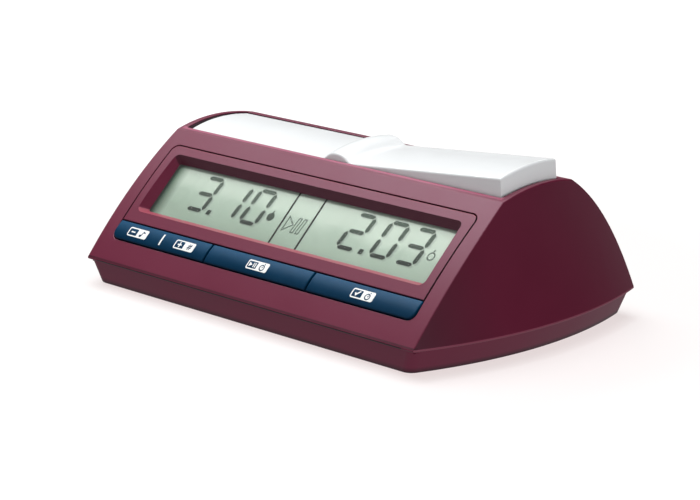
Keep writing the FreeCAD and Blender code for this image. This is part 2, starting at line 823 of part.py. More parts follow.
# ---------------------------------------------------------------- main board
def make_board():
    board = block(-board_half, board_half, board_low, board_high, board_bottom, board_top)
    spots = [(x, u) for x in (-board_boss_x, board_boss_x) for u in board_boss_places]
    board = board.cut([upright(board_screw_radius + shank_gap, x, u, board_bottom - 1, board_top + 1)
                       for x, u in spots])
    keep("main_board", on_slope(board))

    screws = []
    for x, u in spots:
        head = upright(board_screw_head, x, u, board_bottom - board_screw_head_height, board_bottom)
        shank = upright(board_screw_radius, x, u, board_bottom - 0.1, board_top + board_screw_grip)
        screws.append(on_slope(joined(head, shank)))
    keep("board_screws", *screws)

    x, u = chip_place
    half = chip_size / 2
    chip = block(x - half, x + half, u - half, u + half, board_bottom - chip_thickness, board_bottom)
    keep("controller_chip", on_slope(chip))
    x, u = crystal_place
    z = board_bottom - crystal_radius
    keep("quartz_crystal", on_slope(rod(crystal_radius, Vector(x, u, z), Vector(x + crystal_length, u, z))))
    long, wide, high = socket_size
    keep("ribbon_socket", on_slope(block(-long / 2, long / 2, socket_place - wide / 2,
                                         socket_place + wide / 2, board_bottom - high, board_bottom)))


# ---------------------------------------------------------------- rocker lever and what it carries
def make_lever():
    solid = lever_body(0, lever_skirt)
    top_edges = [e for e in solid.Edges if e.BoundBox.ZMin > lever_top - 0.5 and not is_cross_seam(e)]
    solid = solid.makeFillet(lever_round, top_edges)
    hollow = lever_body(lever_wall, 2 * lever_skirt)
    shell = solid.cut(hollow)

    inside = lever_body(lever_wall / 2, lever_skirt)
    y0, y1 = lever_front + lever_wall / 2, lever_back - lever_wall / 2
    low = wing_underside(0) + lever_rib_drop
    ribs = [block(-lever_half, lever_half, lever_middle - lever_rib / 2, lever_middle + lever_rib / 2, low, 90)]
    for x in lever_rib_places:
        for side in (-1, 1):
            ribs.append(block(side * x - lever_rib / 2, side * x + lever_rib / 2, y0, y1, low, 90))
    for side in (-1, 1):
        x = side * stop_rib_x
        ribs.append(block(x - stop_rib_width / 2, x + stop_rib_width / 2, y0, y1, wing_underside(x) - 1, 90))
        cup = upright(magnet_radius + magnet_cup_wall, side * magnet_x, lever_middle, magnet_low(), 90)
        ribs.append(cup)
    ribs.append(block(-hub_web / 2, hub_web / 2, hub_front, hub_back, pivot_height, 90))
    hub_axis = (Vector(0, hub_front, pivot_height), Vector(0, hub_back, pivot_height))
    inner_ribs = ribs[0].fuse(ribs[1:]).common(inside)
    lever = shell.fuse([inner_ribs, rod(hub_radius, *hub_axis)])

    cuts = [rod(axle_radius + 0.3, hub_axis[0] - Vector(0, 1, 0), hub_axis[1] + Vector(0, 1, 0))]
    for y in (hub_front, hub_back - bush_length):
        cuts.append(rod(bush_radius + thread_gap, Vector(0, y, pivot_height),
                        Vector(0, y + bush_length, pivot_height)))
    for side in (-1, 1):
        cuts.append(upright(magnet_radius + thread_gap, side * magnet_x, lever_middle,
                            magnet_low() - 1, magnet_low() + magnet_height))
    keep("rocker_lever", tipped(lever.cut(cuts).removeSplitter()))

    magnets = [tipped(upright(magnet_radius, side * magnet_x, lever_middle, magnet_low(),
                              magnet_low() + magnet_height)) for side in (-1, 1)]
    keep("lever_magnets", *magnets)
    bushes = []
    for y in (hub_front, hub_back - bush_length):
        start, end = Vector(0, y, pivot_height), Vector(0, y + bush_length, pivot_height)
        sleeve = rod(bush_radius, start, end).cut(
            rod(axle_radius + axle_running_gap, start - Vector(0, 1, 0), end + Vector(0, 1, 0)))
        bushes.append(sleeve)
    keep("lever_bushes", *bushes)
    keep("lever_axle", rod(axle_radius, Vector(0, saddle_front, pivot_height),
                           Vector(0, saddle_back, pivot_height)))


def magnet_low():
    """Underside of the magnets when the lever is level."""
    reach = (magnet_x + magnet_radius) * math.tan(math.radians(tip_angle))
    return well_floor + magnet_rest_gap + reach + 0.1


def is_cross_seam(edge):
    """Front-to-back seams of the lever's top lie between smooth faces and take no rounding."""
    box = edge.BoundBox
    return box.YLength > 1 and abs(box.Center.x) < lever_half - 2


def make_well_fittings():
    catches, pads = [], []
    for side in (-1, 1):
        catches.append(upright(catch_radius, side * magnet_x, lever_middle, well_floor - catch_thickness,
                               well_floor))
        stop_x = stop_rib_x + stop_rib_width / 2
        top = lowest_when_pressed(stop_x, wing_underside(stop_x)) - pad_rest_gap
        pads.append(pad_block(side, well_floor - pad_sink, top))
    keep("catch_plates", *catches)
    keep("stop_pads", *pads)

    y0, y1 = lever_middle - sensor_board_width / 2, lever_middle + sensor_board_width / 2
    sensor_board_half = magnet_x + sensor_board_margin
    z1 = well_underside
    z0 = z1 - sensor_board_thickness
    keep("sensor_board", block(-sensor_board_half, sensor_board_half, y0, y1, z0, z1))
    long, wide, high = sensor_size
    sensors = [block(side * magnet_x - long / 2, side * magnet_x + long / 2, lever_middle - wide / 2,
                     lever_middle + wide / 2, z0 - high, z0) for side in (-1, 1)]
    keep("lever_sensors", *sensors)

    start = slope_frame.multVec(Vector(0, socket_place, board_bottom - socket_size[2] - ribbon_end_gap))
    end = Vector(0, y0 + 2, z0 - ribbon_end_gap)
    chord = end - start
    down = Vector(0, chord.z, -chord.y).normalize()
    middle = (start + end) * 0.5 + down * ribbon_sag
    thin = down * ribbon_thickness
    edges = [
        Part.Arc(start, middle, end).toShape(),
        Part.LineSegment(end, end + thin).toShape(),
        Part.Arc(end + thin, middle + thin, start + thin).toShape(),
        Part.LineSegment(start + thin, start).toShape(),
    ]
    strip = Part.Face(Part.Wire(edges))
    strip.translate(Vector(-ribbon_width / 2, 0, 0))
    keep("sensor_ribbon", strip.extrude(Vector(ribbon_width, 0, 0)))


# ---------------------------------------------------------------- base shell
def skirt_solid(inset, top_z, bottom_z):
    """Tapered skirt of the base, moved in by inset."""
    share = (top_z - floor_bottom) / base_height
    low_share = (bottom_z - floor_bottom) / base_height

    def outline(level, z):
        front = base_front_inset + (base_inset - base_front_inset) * level + inset
        back = base_back_inset + (base_inset - base_back_inset) * level + inset
        side = base_side_inset + (base_inset - base_side_inset) * level + inset
        return plan_wire(width / 2 - side, front_y + front, back_y - back, z)

    solid = Part.makeLoft([outline(low_share, bottom_z), outline(share, top_z)], True, True)
    corners = [e for e in solid.Edges if e.BoundBox.ZLength > 0.9 * (top_z - bottom_z)]
    return solid.makeFillet(max(base_corner - inset, 1), corners)


def battery_room(x_grow, y_grow, z0, z1):
    return block(-pocket_half_x - x_grow, pocket_half_x + x_grow, battery_y - pocket_half_y - y_grow,
                 battery_y + pocket_half_y + y_grow, z0, z1)


def make_base():
    outer = skirt_solid(0, lip_z, floor_bottom)
    bottom_edges = [e for e in outer.Edges if e.BoundBox.ZMax < floor_bottom + 0.1]
    outer = outer.makeFillet(edge_round, bottom_edges)
    shell = outer.cut(skirt_solid(base_wall, lip_z + 1, floor_top))
    ring = housing_solid(wall + tongue_gap, lip_z - 1).cut(
        housing_solid(wall + tongue_gap + tongue_wall, lip_z - 2))
    ring = ring.common(block(-width, width, -depth, depth, lip_z - 1, lip_z + tongue_height))

    adds = [ring, battery_room(pocket_wall, pocket_wall, floor_bottom + 1, pocket_top + pocket_wall)]
    adds += [upright(post_radius, x, y, floor_bottom + 1, post_height) for x, y in screw_spots]
    rail = slider_plate[1] / 2 + switch_clearance
    rail_top = floor_top + slider_gap + slider_plate[2] + switch_clearance
    for side in (-1, 1):
        y = sorted((switch_y + side * rail, switch_y + side * (rail + switch_rail)))
        adds.append(block(switch_x - switch_body[0], switch_x + switch_body[0], y[0], y[1],
                          floor_bottom + 1, rail_top))
    buzzer_wall = upright(buzzer_radius + thread_gap + buzzer_ring, buzzer_x, buzzer_y, floor_bottom + 1,
                          floor_top + 2)
    adds.append(buzzer_wall)
    body = shell.fuse(adds)

    cuts = [battery_room(0, 0, floor_bottom - 1, pocket_top)]
    cuts += [rod(lead_radius + lead_hole_gap, start, start + Vector(pocket_wall + 1, 0, 0))
             for start in lead_starts()]
    cuts.append(battery_room(door_margin, door_margin, floor_bottom - 1,
                             floor_bottom + door_thickness + door_rest_gap))
    for x, y in screw_spots:
        cuts.append(upright(screw_radius + shank_gap, x, y, floor_bottom - 1, post_height + 1))
        cuts.append(upright(screw_head_radius + shank_gap, x, y, floor_bottom - 1,
                            floor_bottom + screw_head_sink + screw_head_height))
    cuts += [upright(foot_radius, x, y, floor_bottom - 1, floor_bottom + foot_sink) for x, y in foot_spots]
    half_x = slider_knob[0] / 2 + slider_slot_gap
    half_y = slider_knob[1] / 2 + slider_slot_gap
    cuts.append(block(switch_x - half_x, switch_x + half_x + switch_travel, switch_y - half_y,
                      switch_y + half_y, floor_bottom - 1, floor_top + 1))
    cuts.append(upright(buzzer_radius + thread_gap, buzzer_x, buzzer_y, floor_top, floor_top + 3))
    keep("base_shell", body.cut(cuts).removeSplitter())

    keep("rubber_feet", *[upright(foot_radius, x, y, 0, floor_bottom + foot_sink) for x, y in foot_spots])
    screws = []
    for x, y in screw_spots:
        seat = floor_bottom + screw_head_sink + screw_head_height
        head = upright(screw_head_radius, x, y, floor_bottom + screw_head_sink, seat)
        screws.append(joined(head, upright(screw_radius, x, y, seat - 0.1, screw_top)))
    keep("housing_screws", *screws)
    keep("piezo_buzzer", upright(buzzer_radius, buzzer_x, buzzer_y, floor_top, floor_top + buzzer_height))


def make_power_switch():
    long, wide, high = slider_plate
    z0 = floor_top + slider_gap
    plate = block(switch_x - long / 2, switch_x + long / 2, switch_y - wide / 2, switch_y + wide / 2,
                  z0, z0 + high)
    knob = block(switch_x - slider_knob[0] / 2, switch_x + slider_knob[0] / 2,
                 switch_y - slider_knob[1] / 2, switch_y + slider_knob[1] / 2,
                 floor_bottom + screw_head_sink, z0 + 0.5)
    body_low = z0 + high + switch_clearance
    stub_half = slider_stub / 2
    stub = block(switch_x - stub_half, switch_x + stub_half, switch_y - stub_half, switch_y + stub_half,
                 z0 + 0.5, body_low + 1)
    keep("power_slider", joined(plate, knob, stub))

    long, wide, high = switch_body
    wide = slider_plate[1] + 2 * (switch_clearance + switch_rail)
    body = block(switch_x - long / 2, switch_x + long / 2, switch_y - wide / 2, switch_y + wide / 2,
                 body_low, body_low + high)
    room = block(switch_x - stub_half - slider_slot_gap, switch_x + stub_half + slider_slot_gap + switch_travel,
                 switch_y - stub_half - slider_slot_gap, switch_y + stub_half + slider_slot_gap,
                 body_low - 1, body_low + 1 + switch_clearance)
    keep("power_switch", body.cut(room))


# ---------------------------------------------------------------- battery leads
def lead_solid(points):
    """Insulated wire along straight runs joined by tangent arcs."""
    edges, at = [], points[0]
    for before, corner, after in zip(points, points[1:], points[2:]):
        back, on = before - corner, after - corner
        reach = lead_bend * min(back.Length, on.Length)
        back.normalize()
        on.normalize()
        half_turn = (math.pi - back.getAngle(on)) / 2
        radius = reach / math.tan(half_turn)
        inward = (back + on).normalize()
        start, end = corner + back * reach, corner + on * reach
        middle = corner + inward * (radius / math.cos(half_turn) - radius)
        edges += [Part.LineSegment(at, start).toShape(), Part.Arc(start, middle, end).toShape()]
        at = end
    edges.append(Part.LineSegment(at, points[-1]).toShape())
    path = Part.Wire(edges)
    section = Part.Wire(Part.makeCircle(lead_radius, points[0], points[1] - points[0]))
    tube = path.makePipeShell([section], True, True)
    print("lead: length", round(path.Length, 1), "volume against section times length",
          round(tube.Volume / (path.Length * math.pi * lead_radius ** 2), 4))
    return tube


def lead_starts():
    """Where the leads leave the contact plates: the near one first."""
    return [Vector(pocket_half_x, battery_y + side * cell_pitch / 2, cell_z) for side in (-1, 1)]


def make_leads():
    for number, (name, start) in enumerate(zip(("battery_lead_red", "battery_lead_black"), lead_starts())):
        x = start.x + lead_reach - number * lead_spacing
        climb = number * lead_rise
        landing = slope_frame.multVec(Vector(x, lead_landing, board_bottom))
        outward = slope_frame.Rotation.multVec(Vector(0, 0, -lead_approach))
        points = [start, Vector(x, start.y, start.z)]
        if number:
            points.append(Vector(x, start.y - cell_radius, start.z + climb))
        points.append(Vector(x, battery_y - pocket_half_y - pocket_wall, start.z + climb + 2))
        points += [landing + outward, landing]
        keep(name, lead_solid(points))


# ---------------------------------------------------------------- batteries and their door
def make_battery_parts():
    cells, plates, springs = [], [], []
    inner = pocket_half_x - contact_thickness
    for way in (-1, 1):
        y = battery_y - way * cell_pitch / 2
        nub_end = way * inner
        body_end = way * (inner - cell_nub_length)
        tail = way * (inner - cell_nub_length - cell_length)
        can = rod(cell_radius, Vector(tail, y, cell_z), Vector(body_end, y, cell_z))
        can = can.makeFillet(edge_round, can.Edges[:1] + can.Edges[2:])
        nub = rod(cell_nub_radius, Vector(body_end - way, y, cell_z), Vector(nub_end, y, cell_z))
        cells.append(joined(can, nub))
        for side in (-1, 1):
            x = sorted((side * inner, side * pocket_half_x))
            half = contact_size / 2
            plates.append(block(x[0], x[1], y - half, y + half, cell_z - half, cell_z + half))
        coil = Vector(-way * inner, y, cell_z)
        length = abs(tail - coil.x)
        outer = Part.makeCone(spring_radius, spring_tip_radius, length, coil, Vector(way, 0, 0))
        bore = Part.makeCone(spring_radius - spring_wire, spring_tip_radius - spring_wire, length,
                             coil, Vector(way, 0, 0))
        springs.append(outer.cut(bore))
    keep("battery_cells", *cells)
    keep("battery_contacts", *plates)
    keep("battery_springs", *springs)

    margin = door_margin - door_gap
    top = floor_bottom + door_thickness
    plate = battery_room(margin, margin, floor_bottom, top)
    lip = battery_room(-door_rib_gap, -door_rib_gap, top - 0.1, top + door_rib_height)
    hollow = battery_room(-door_rib_gap - door_rib, -door_rib_gap - door_rib, top, top + door_rib_height + 1)
    door = joined(plate, lip.cut(hollow))
    grooves = []
    for number in range(4):
        x = pocket_half_x - 4 + 2 * number - 3
        grooves.append(block(x, x + 1, battery_y - 8, battery_y + 8, floor_bottom - 1,
                             floor_bottom + grip_groove))
    keep("battery_door", door.cut(grooves))


# ---------------------------------------------------------------- build and write
make_upper_housing()
make_base()
make_bezel()
make_display()
make_keys()
make_board()
make_lever()
make_well_fittings()
make_power_switch()
make_battery_parts()
make_leads()

os.makedirs("parts", exist_ok=True)
for name, shape in nodes.items():
    if not shape.isValid() or shape.Volume <= 0:
        raise ValueError(name + " is not a sound solid")
    shape.exportStep(os.path.join("parts", name + ".step"))
    print(name, len(shape.Solids), round(shape.Volume, 1))
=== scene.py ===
# %% [markdown]
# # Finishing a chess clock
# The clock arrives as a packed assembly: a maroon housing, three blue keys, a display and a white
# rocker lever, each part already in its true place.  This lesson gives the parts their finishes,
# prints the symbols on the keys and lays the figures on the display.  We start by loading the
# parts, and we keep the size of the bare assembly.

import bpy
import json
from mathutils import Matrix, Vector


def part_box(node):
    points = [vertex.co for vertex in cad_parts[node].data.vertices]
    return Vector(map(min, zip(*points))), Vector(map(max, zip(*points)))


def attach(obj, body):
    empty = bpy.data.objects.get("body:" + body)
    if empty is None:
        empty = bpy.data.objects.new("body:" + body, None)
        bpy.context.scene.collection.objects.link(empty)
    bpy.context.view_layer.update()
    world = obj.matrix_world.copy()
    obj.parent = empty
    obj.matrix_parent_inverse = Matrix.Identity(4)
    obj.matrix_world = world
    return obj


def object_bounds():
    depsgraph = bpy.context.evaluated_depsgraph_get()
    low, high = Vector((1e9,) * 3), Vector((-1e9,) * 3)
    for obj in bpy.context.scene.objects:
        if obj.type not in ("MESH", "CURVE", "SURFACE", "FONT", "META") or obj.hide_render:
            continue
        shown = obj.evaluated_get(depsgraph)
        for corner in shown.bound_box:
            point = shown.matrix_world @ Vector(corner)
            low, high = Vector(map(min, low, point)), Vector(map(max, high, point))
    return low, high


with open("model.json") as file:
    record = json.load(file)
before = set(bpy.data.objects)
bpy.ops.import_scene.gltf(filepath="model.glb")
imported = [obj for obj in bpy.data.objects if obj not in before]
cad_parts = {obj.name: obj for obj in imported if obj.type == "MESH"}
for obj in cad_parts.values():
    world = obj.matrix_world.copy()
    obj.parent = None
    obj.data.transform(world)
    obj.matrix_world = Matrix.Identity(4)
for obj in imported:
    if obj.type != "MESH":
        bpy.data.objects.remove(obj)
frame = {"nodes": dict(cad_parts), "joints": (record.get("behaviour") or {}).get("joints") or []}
cad_low, cad_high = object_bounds()
print("assembly", [round(v * 1000, 1) for v in cad_high - cad_low], "mm,", len(frame["nodes"]), "nodes")

# %% [markdown]
# The display and the keys lie on a sloped front, so plain X, Y and Z are awkward there.  The start
# key is pushed straight into the slope, and its joint says in which direction.  From that one
# direction we get three handy axes: across the front, up the slope and out of it.

# %% Axes of the sloped front
import bmesh
import bpy
import json
import math
from mathutils import Matrix, Vector
from mathutils.bvhtree import BVHTree

MM = 0.001
joints = {joint["name"]: joint for joint in frame["joints"]}
across, backward, upright = Vector((1, 0, 0)), Vector((0, 1, 0)), Vector((0, 0, 1))
outward = -Vector(joints["start_pause_press"]["axis"])
upslope = outward.cross(across)
print("out of the slope", [round(v, 3) for v in outward])

# %% A box measured along the slope
def slope_box(node):
    """Lowest and highest corner of a part across, up and out of the slope, in millimetres."""
    points = [vertex.co for vertex in frame["nodes"][node].data.vertices]
    reach = [[point.dot(axis) / MM for point in points] for axis in (across, upslope, outward)]
    return Vector([min(values) for values in reach]), Vector([max(values) for values in reach])


def on_slope(x, up, out):
    """The place in the assembly of a point given in millimetres along the slope's axes."""
    return (across * x + upslope * up + outward * out) * MM


glass_low, glass_high = slope_box("display_glass")
glass_middle = (glass_low + glass_high) / 2
print("display glass", [round(v, 1) for v in glass_high - glass_low], "mm")

# %% [markdown]
# ## Camera
# The clock is seen from its right front corner, a little above the table.  A long lens from about
# a metre away keeps the sides nearly parallel, as in a product picture.  The camera is made from
# three angles, and it looks at a point close to the middle of the clock.

# %% Camera
def look_from(aim, yaw, pitch, roll, distance):
    """Camera matrix from a point to look at, three angles in degrees and a distance in metres."""
    yaw, pitch, roll = (math.radians(angle) for angle in (yaw, pitch, roll))
    flat = math.cos(pitch)
    back = Vector((math.sin(yaw) * flat, -math.cos(yaw) * flat, math.sin(pitch)))
    side = Vector((math.cos(yaw), math.sin(yaw), 0))
    above = back.cross(side)
    right = side * math.cos(roll) + above * math.sin(roll)
    top = above * math.cos(roll) - side * math.sin(roll)
    place = aim + back * distance
    rows = [(*row, shift) for row, shift in zip(zip(right, top, back), place)]
    return Matrix(rows + [(0, 0, 0, 1)])


VIEW_AIM = Vector((0.0065, -0.0042, 0.0215))
VIEW_YAW, VIEW_PITCH, VIEW_ROLL = 47.60, 15.54, -1.85
VIEW_DISTANCE = 1.0646
SENSOR_WIDTH, FOCAL_LENGTH = 36, 138.45    # millimetres

lens = bpy.data.cameras.new("camera")
lens.sensor_width = SENSOR_WIDTH
lens.lens = FOCAL_LENGTH
camera = bpy.data.objects.new("camera", lens)
bpy.context.collection.objects.link(camera)
camera.matrix_world = look_from(VIEW_AIM, VIEW_YAW, VIEW_PITCH, VIEW_ROLL, VIEW_DISTANCE)
bpy.context.scene.camera = camera
print("camera at", [round(v, 3) for v in camera.matrix_world.translation])

# %% [markdown]
# ## Writing materials as sums
# A finish is a small web of nodes.  Wiring them by hand hides the idea, so we wrap a socket in a
# class whose plus, minus and times add the Math nodes for us.  `0.4 + 0.1 * grain` then reads as
# what it means: a roughness of 0.4 that changes a little with the grain.

# %% A number that varies over a surface
class Varying:
    """Wraps an output socket; Python's operators on it add Math nodes."""

    def __init__(self, web, socket):
        self.web, self.socket = web, socket

    def maths(self, operation, first, second):
        return self.web.node("ShaderNodeMath", {"operation": operation}, {0: first, 1: second})

    def __add__(self, other):
        return self.maths("ADD", self, other)

    def __sub__(self, other):
        return self.maths("SUBTRACT", self, other)

    def __rsub__(self, other):
        return self.maths("SUBTRACT", other, self)

    def __mul__(self, other):
        return self.maths("MULTIPLY", self, other)

    def __gt__(self, other):
        return self.maths("GREATER_THAN", self, other)

    def __lt__(self, other):
        return self.maths("LESS_THAN", self, other)

    __radd__ = __add__
    __rmul__ = __mul__


print("Varying knows + - * < >")

# %% [markdown]
# Every other node comes from one method.  It takes the node's type, its settings and the values or
# links of its sockets, and hands back the output that we want to go on with.  The same method
# serves materials and the sky, so it lives in a class that only knows a tree of nodes.  Colours
# can't go through Math nodes, which would turn them grey, so mixing them has methods of its own.

# %% A web of nodes
class NodeWeb:
    """A tree of nodes, with a method that adds any node to it."""

    def __init__(self, tree):
        self.tree = tree

    def node(self, kind, settings=None, sockets=None, output=0):
        """Adds a node: its settings first, then the values or links of its sockets."""
        made = self.tree.nodes.new(kind)
        for key, value in (settings or {}).items():
            if key == "stops":
                self.set_stops(made.color_ramp, value)
            else:
                setattr(made, key, value)
        for key, value in (sockets or {}).items():
            self.feed(made.inputs[key], value)
        return Varying(self, made.outputs[output])

    def set_stops(self, ramp, stops):
        while len(ramp.elements) < len(stops):
            ramp.elements.new(0.5)
        for element, (place, colour) in zip(ramp.elements, stops):
            element.position = place
            element.color = (*colour, 1)

    def feed(self, socket, value):
        """Links a varying value to a socket, or sets a plain one."""
        if isinstance(value, Varying):
            self.tree.links.new(value.socket, socket)
        elif hasattr(value, "__len__") and len(value) == 3 and socket.type == "RGBA":
            socket.default_value = (*value, 1)
        else:
            socket.default_value = value

    def ramp(self, level, stops):
        """A colour from a ramp: stops are pairs of a place from 0 to 1 and a colour."""
        return self.node("ShaderNodeValToRGB", {"stops": stops}, {0: level})

    def vectors(self, operation, first, second, output=0):
        return self.node("ShaderNodeVectorMath", {"operation": operation}, {0: first, 1: second}, output)

    def fade(self, value, start, end, first=0.0, last=1.0):
        """Goes from first to last while a value goes from start to end."""
        return self.node("ShaderNodeMapRange", None, {0: value, 1: start, 2: end, 3: first, 4: last})

    def colours(self, factor, low, high):
        """A colour between two colours."""
        return self.node("ShaderNodeMix", {"data_type": "RGBA"}, {0: factor, 6: low, 7: high}, 2)

    def times(self, first, second):
        """Two colours multiplied, channel by channel."""
        settings = {"data_type": "RGBA", "blend_type": "MULTIPLY"}
        return self.node("ShaderNodeMix", settings, {0: 1.0, 6: first, 7: second}, 2)


print("NodeWeb is ready")

# %% [markdown]
# A finish adds the questions that our materials ask again and again: where are we on the part,
# which way does the surface face, and how does the random grain fall here.  Places are measured in
# millimetres on the part itself, so a pattern stays on the part when the part moves.

# %% A finish
class Finish(NodeWeb):
    """One material: its shader, and what the shader can be fed with."""

    def __init__(self, name, **constants):
        self.material = bpy.data.materials.new(name)
        self.material.use_nodes = True
        super().__init__(self.material.node_tree)
        self.shader = self.tree.nodes["Principled BSDF"]
        self.shade(**constants)

    def shade(self, **sockets):
        """Feeds the shader itself."""
        for socket, value in sockets.items():
            self.feed(self.shader.inputs[socket.replace("_", " ")], value)
        return self.material

    def place(self):
        """Where we are on the part, in metres, in the part's own axes."""
        return self.node("ShaderNodeTexCoord", output=3)

    def along(self, axis, start=0.0, length=1.0):
        """How far along an axis, in millimetres from start, as a share of a length."""
        scaled = tuple(v / (MM * length) for v in axis)
        return self.vectors("DOT_PRODUCT", self.place(), scaled, 1) - start / length

    def facing(self, axis):
        """How far the surface faces along an axis, from -1 to 1."""
        normal = self.node("ShaderNodeTexCoord", output=1)
        return self.vectors("DOT_PRODUCT", normal, tuple(axis), 1)

    def grain(self, size, detail=2.0, stretch=None):
        """Soft random variation between 0 and 1 with features of a size in millimetres."""
        place = self.place()
        if stretch:
            place = self.vectors("MULTIPLY", place, stretch)
        sockets = {"Vector": place, "Scale": 1 / (size * MM), "Detail": detail}
        return self.node("ShaderNodeTexNoise", None, sockets)

    def relief(self, height, depth, strength=0.5):
        """Surface relief of a depth in millimetres."""
        sockets = {"Height": height, "Distance": depth * MM, "Strength": strength}
        return self.node("ShaderNodeBump", None, sockets)


print("Finish is ready")

# %% [markdown]
# ## Floor
# The floor is a wide pale sheet.  A plain white one would turn grey away from the lamps, so ours
# also glows softly, and more so further from the clock, until it melts into a white background.
# The clock still throws its shadow on it.  The floor is hidden from soft and mirrored light, which
# keeps its glow off the clock.

# %% Floor
FLOOR_HALF = 6                             # metres from the middle of the floor to its edge
FLOOR_GAP = 0.0002                         # keeps the floor clear of the flat undersides of the feet
GLOW_NEAR, GLOW_FAR = 0.15, 0.50           # metres from the clock between which the glow grows


def pale_floor(name):
    finish = Finish(name, Emission_Strength=1.0)
    distance = finish.node("ShaderNodeVectorMath", {"operation": "LENGTH"}, {0: finish.place()}, 1)
    fibre = finish.grain(1.5, 3)
    # Near the clock the glow is weaker and pinkish: a painted reflection of the maroon body on the floor.
    glow = finish.colours(finish.fade(distance, GLOW_NEAR, GLOW_FAR), (0.73, 0.66, 0.655), (1.0, 1.0, 1.0))
    base = finish.colours(fibre, (0.278, 0.308, 0.308), (0.282, 0.312, 0.312))
    return finish.shade(Base_Color=base, Emission_Color=glow, Roughness=0.25 + 0.02 * fibre)


mesh = bpy.data.meshes.new("floor")
sheet = bmesh.new()
bmesh.ops.create_grid(sheet, x_segments=4, y_segments=4, size=FLOOR_HALF)
sheet.to_mesh(mesh)
sheet.free()
mesh.materials.append(pale_floor("pale_floor"))
floor = bpy.data.objects.new("floor", mesh)
floor.location.z = cad_low.z - FLOOR_GAP
bpy.context.collection.objects.link(floor)
floor.visible_diffuse = floor.visible_glossy = False
print("floor", floor.dimensions[:])

# %% [markdown]
# ## Studio light
# Soft boxes light the clock.  Two big ones hang above it, one straight over it and one further to
# the left: they brighten everything that faces up, and they draw the light line along each upper
# edge.  A weak one in front keeps the display readable.  Another on the right only half lifts the
# flat side, so that the body looks solid.  The raised end of the white lever would stay too grey
# in that light.  Light linking lets a lamp shine on chosen objects only, so the lever gets a small
# soft box to itself.

# %% Lamps
CLOCK_MIDDLE = (0, 0, 0.03)
RAISED_END = (0.09, 0.012, 0.055)


def softbox(name, place, target, size, power):
    """A rectangular lamp at a place, turned towards a target; sizes in metres, power in watts."""
    lamp = bpy.data.lights.new(name, "AREA")
    lamp.shape = "RECTANGLE"
    lamp.size, lamp.size_y = size
    lamp.energy = power
    holder = bpy.data.objects.new(name, lamp)
    holder.location = place
    holder.rotation_euler = (Vector(target) - Vector(place)).to_track_quat("-Z", "Y").to_euler()
    bpy.context.collection.objects.link(holder)
    return holder


softbox("top_lamp", (0, 0, 1.3), CLOCK_MIDDLE, (1.2, 1.2), 13.6)
softbox("left_lamp", (-0.65, 0.1, 1.2), CLOCK_MIDDLE, (1.0, 1.0), 17)
softbox("front_lamp", (-0.7, -1.3, 0.8), CLOCK_MIDDLE, (0.9, 0.9), 2.0)
softbox("right_lamp", (1.15, -0.65, 0.18), CLOCK_MIDDLE, (0.8, 0.4), 3.8)
lever_lamp = softbox("lever_lamp", (0.9, 0.15, 0.12), RAISED_END, (0.3, 0.3), 1.5)
lever_only = bpy.data.collections.new("lever_only")
lever_only.objects.link(frame["nodes"]["rocker_lever"])
lever_lamp.light_linking.receiver_collection = lever_only

# %% [markdown]
# The rest of the studio is a grey band along the horizon and darkness above it.  Upright walls
# mirror the band, which gives them a soft sheen, and the dark ceiling leaves the shaping of the
# upper faces to the lamps.  The Standard view transform keeps the white of the lever white.

# %% World
HORIZON_GREY, CEILING_BLACK = (0.47, 0.46, 0.465), (0.01, 0.01, 0.01)
CEILING_START = 0.12                       # height on a dome of radius 1 where the band has ended

world = bpy.data.worlds.new("studio")
bpy.context.scene.world = world
world.use_nodes = True
sky = NodeWeb(world.node_tree)
height = sky.node("ShaderNodeSeparateXYZ", None, {0: sky.node("ShaderNodeTexCoord")}, 2)
band = sky.ramp(height, [(0, HORIZON_GREY), (CEILING_START, CEILING_BLACK)])
background = sky.tree.nodes["Background"]
sky.feed(background.inputs["Color"], band)
sky.feed(background.inputs["Strength"], 1.0)
bpy.context.scene.view_settings.view_transform = "Standard"
print("world", world.name)

# %% [markdown]
# ## Moulded plastic
# Most of the clock is injection-moulded plastic.  The steel mould is spark-eroded, so the plastic
# comes out with a very fine grain that turns a mirror gloss into a satin sheen.  Hands and cloths
# polish some places a little more than others.  So: one colour with a slight drift, a roughness
# that drifts with it, and a fine relief.

# %% Plastic finish
def tinted(colour, factor):
    return tuple(min(1.0, channel * factor) for channel in colour)


def plastic(name, colour, roughness, grain=0.35, depth=0.006, drift=0.08, shading=None, **constants):
    """Satin plastic; shading may paint light or shade on some of its faces."""
    finish = Finish(name, **constants)
    cloud = finish.grain(16, 3)
    speck = finish.grain(grain, 1)
    base = finish.colours(cloud * 0.7 + speck * 0.3, tinted(colour, 1 - drift), tinted(colour, 1 + drift))
    if shading:
        base = shading(finish, base)
    satin = roughness - 0.05 + 0.1 * cloud + 0.04 * speck
    return finish.shade(Base_Color=base, Roughness=satin, Normal=finish.relief(speck, depth))


MAROON = (0.138, 0.0085, 0.033)
PINK_SHEEN = (1.0, 0.85, 1.0)
maroon = plastic("maroon_satin", MAROON, 0.42, Specular_Tint=PINK_SHEEN)
lever_white = plastic("lever_white", (0.80, 0.82, 0.83), 0.22, depth=0.003, drift=0.02)
inner_grey = plastic("inner_grey", (0.22, 0.22, 0.23), 0.5)
print("plastics", maroon.name, lever_white.name, inner_grey.name)

# %% [markdown]
# ## Light lines and dark gaps
# Three maroon parts need more than one colour.  A moulded edge is rounded by a few tenths of a
# millimetre and gathers a thin line of light, and a narrow gap lets hardly any light out again.
# Both are finer than the lamps can draw here, so we paint them.  The shader asks which way the
# surface faces and where we are, and turns each answer into a mask of 0 or 1.  Two masks
# multiplied mean "and".

# %% Masks
DEEP_SHADE = tinted(MAROON, 0.1)


def between(value, low, high):
    return (value > low) * (value < high)


def sideways(finish, least=0.5):
    """Faces that look to the left or to the right."""
    return finish.facing(across) * finish.facing(across) > least


print("deep shade", [round(v, 4) for v in DEEP_SHADE])
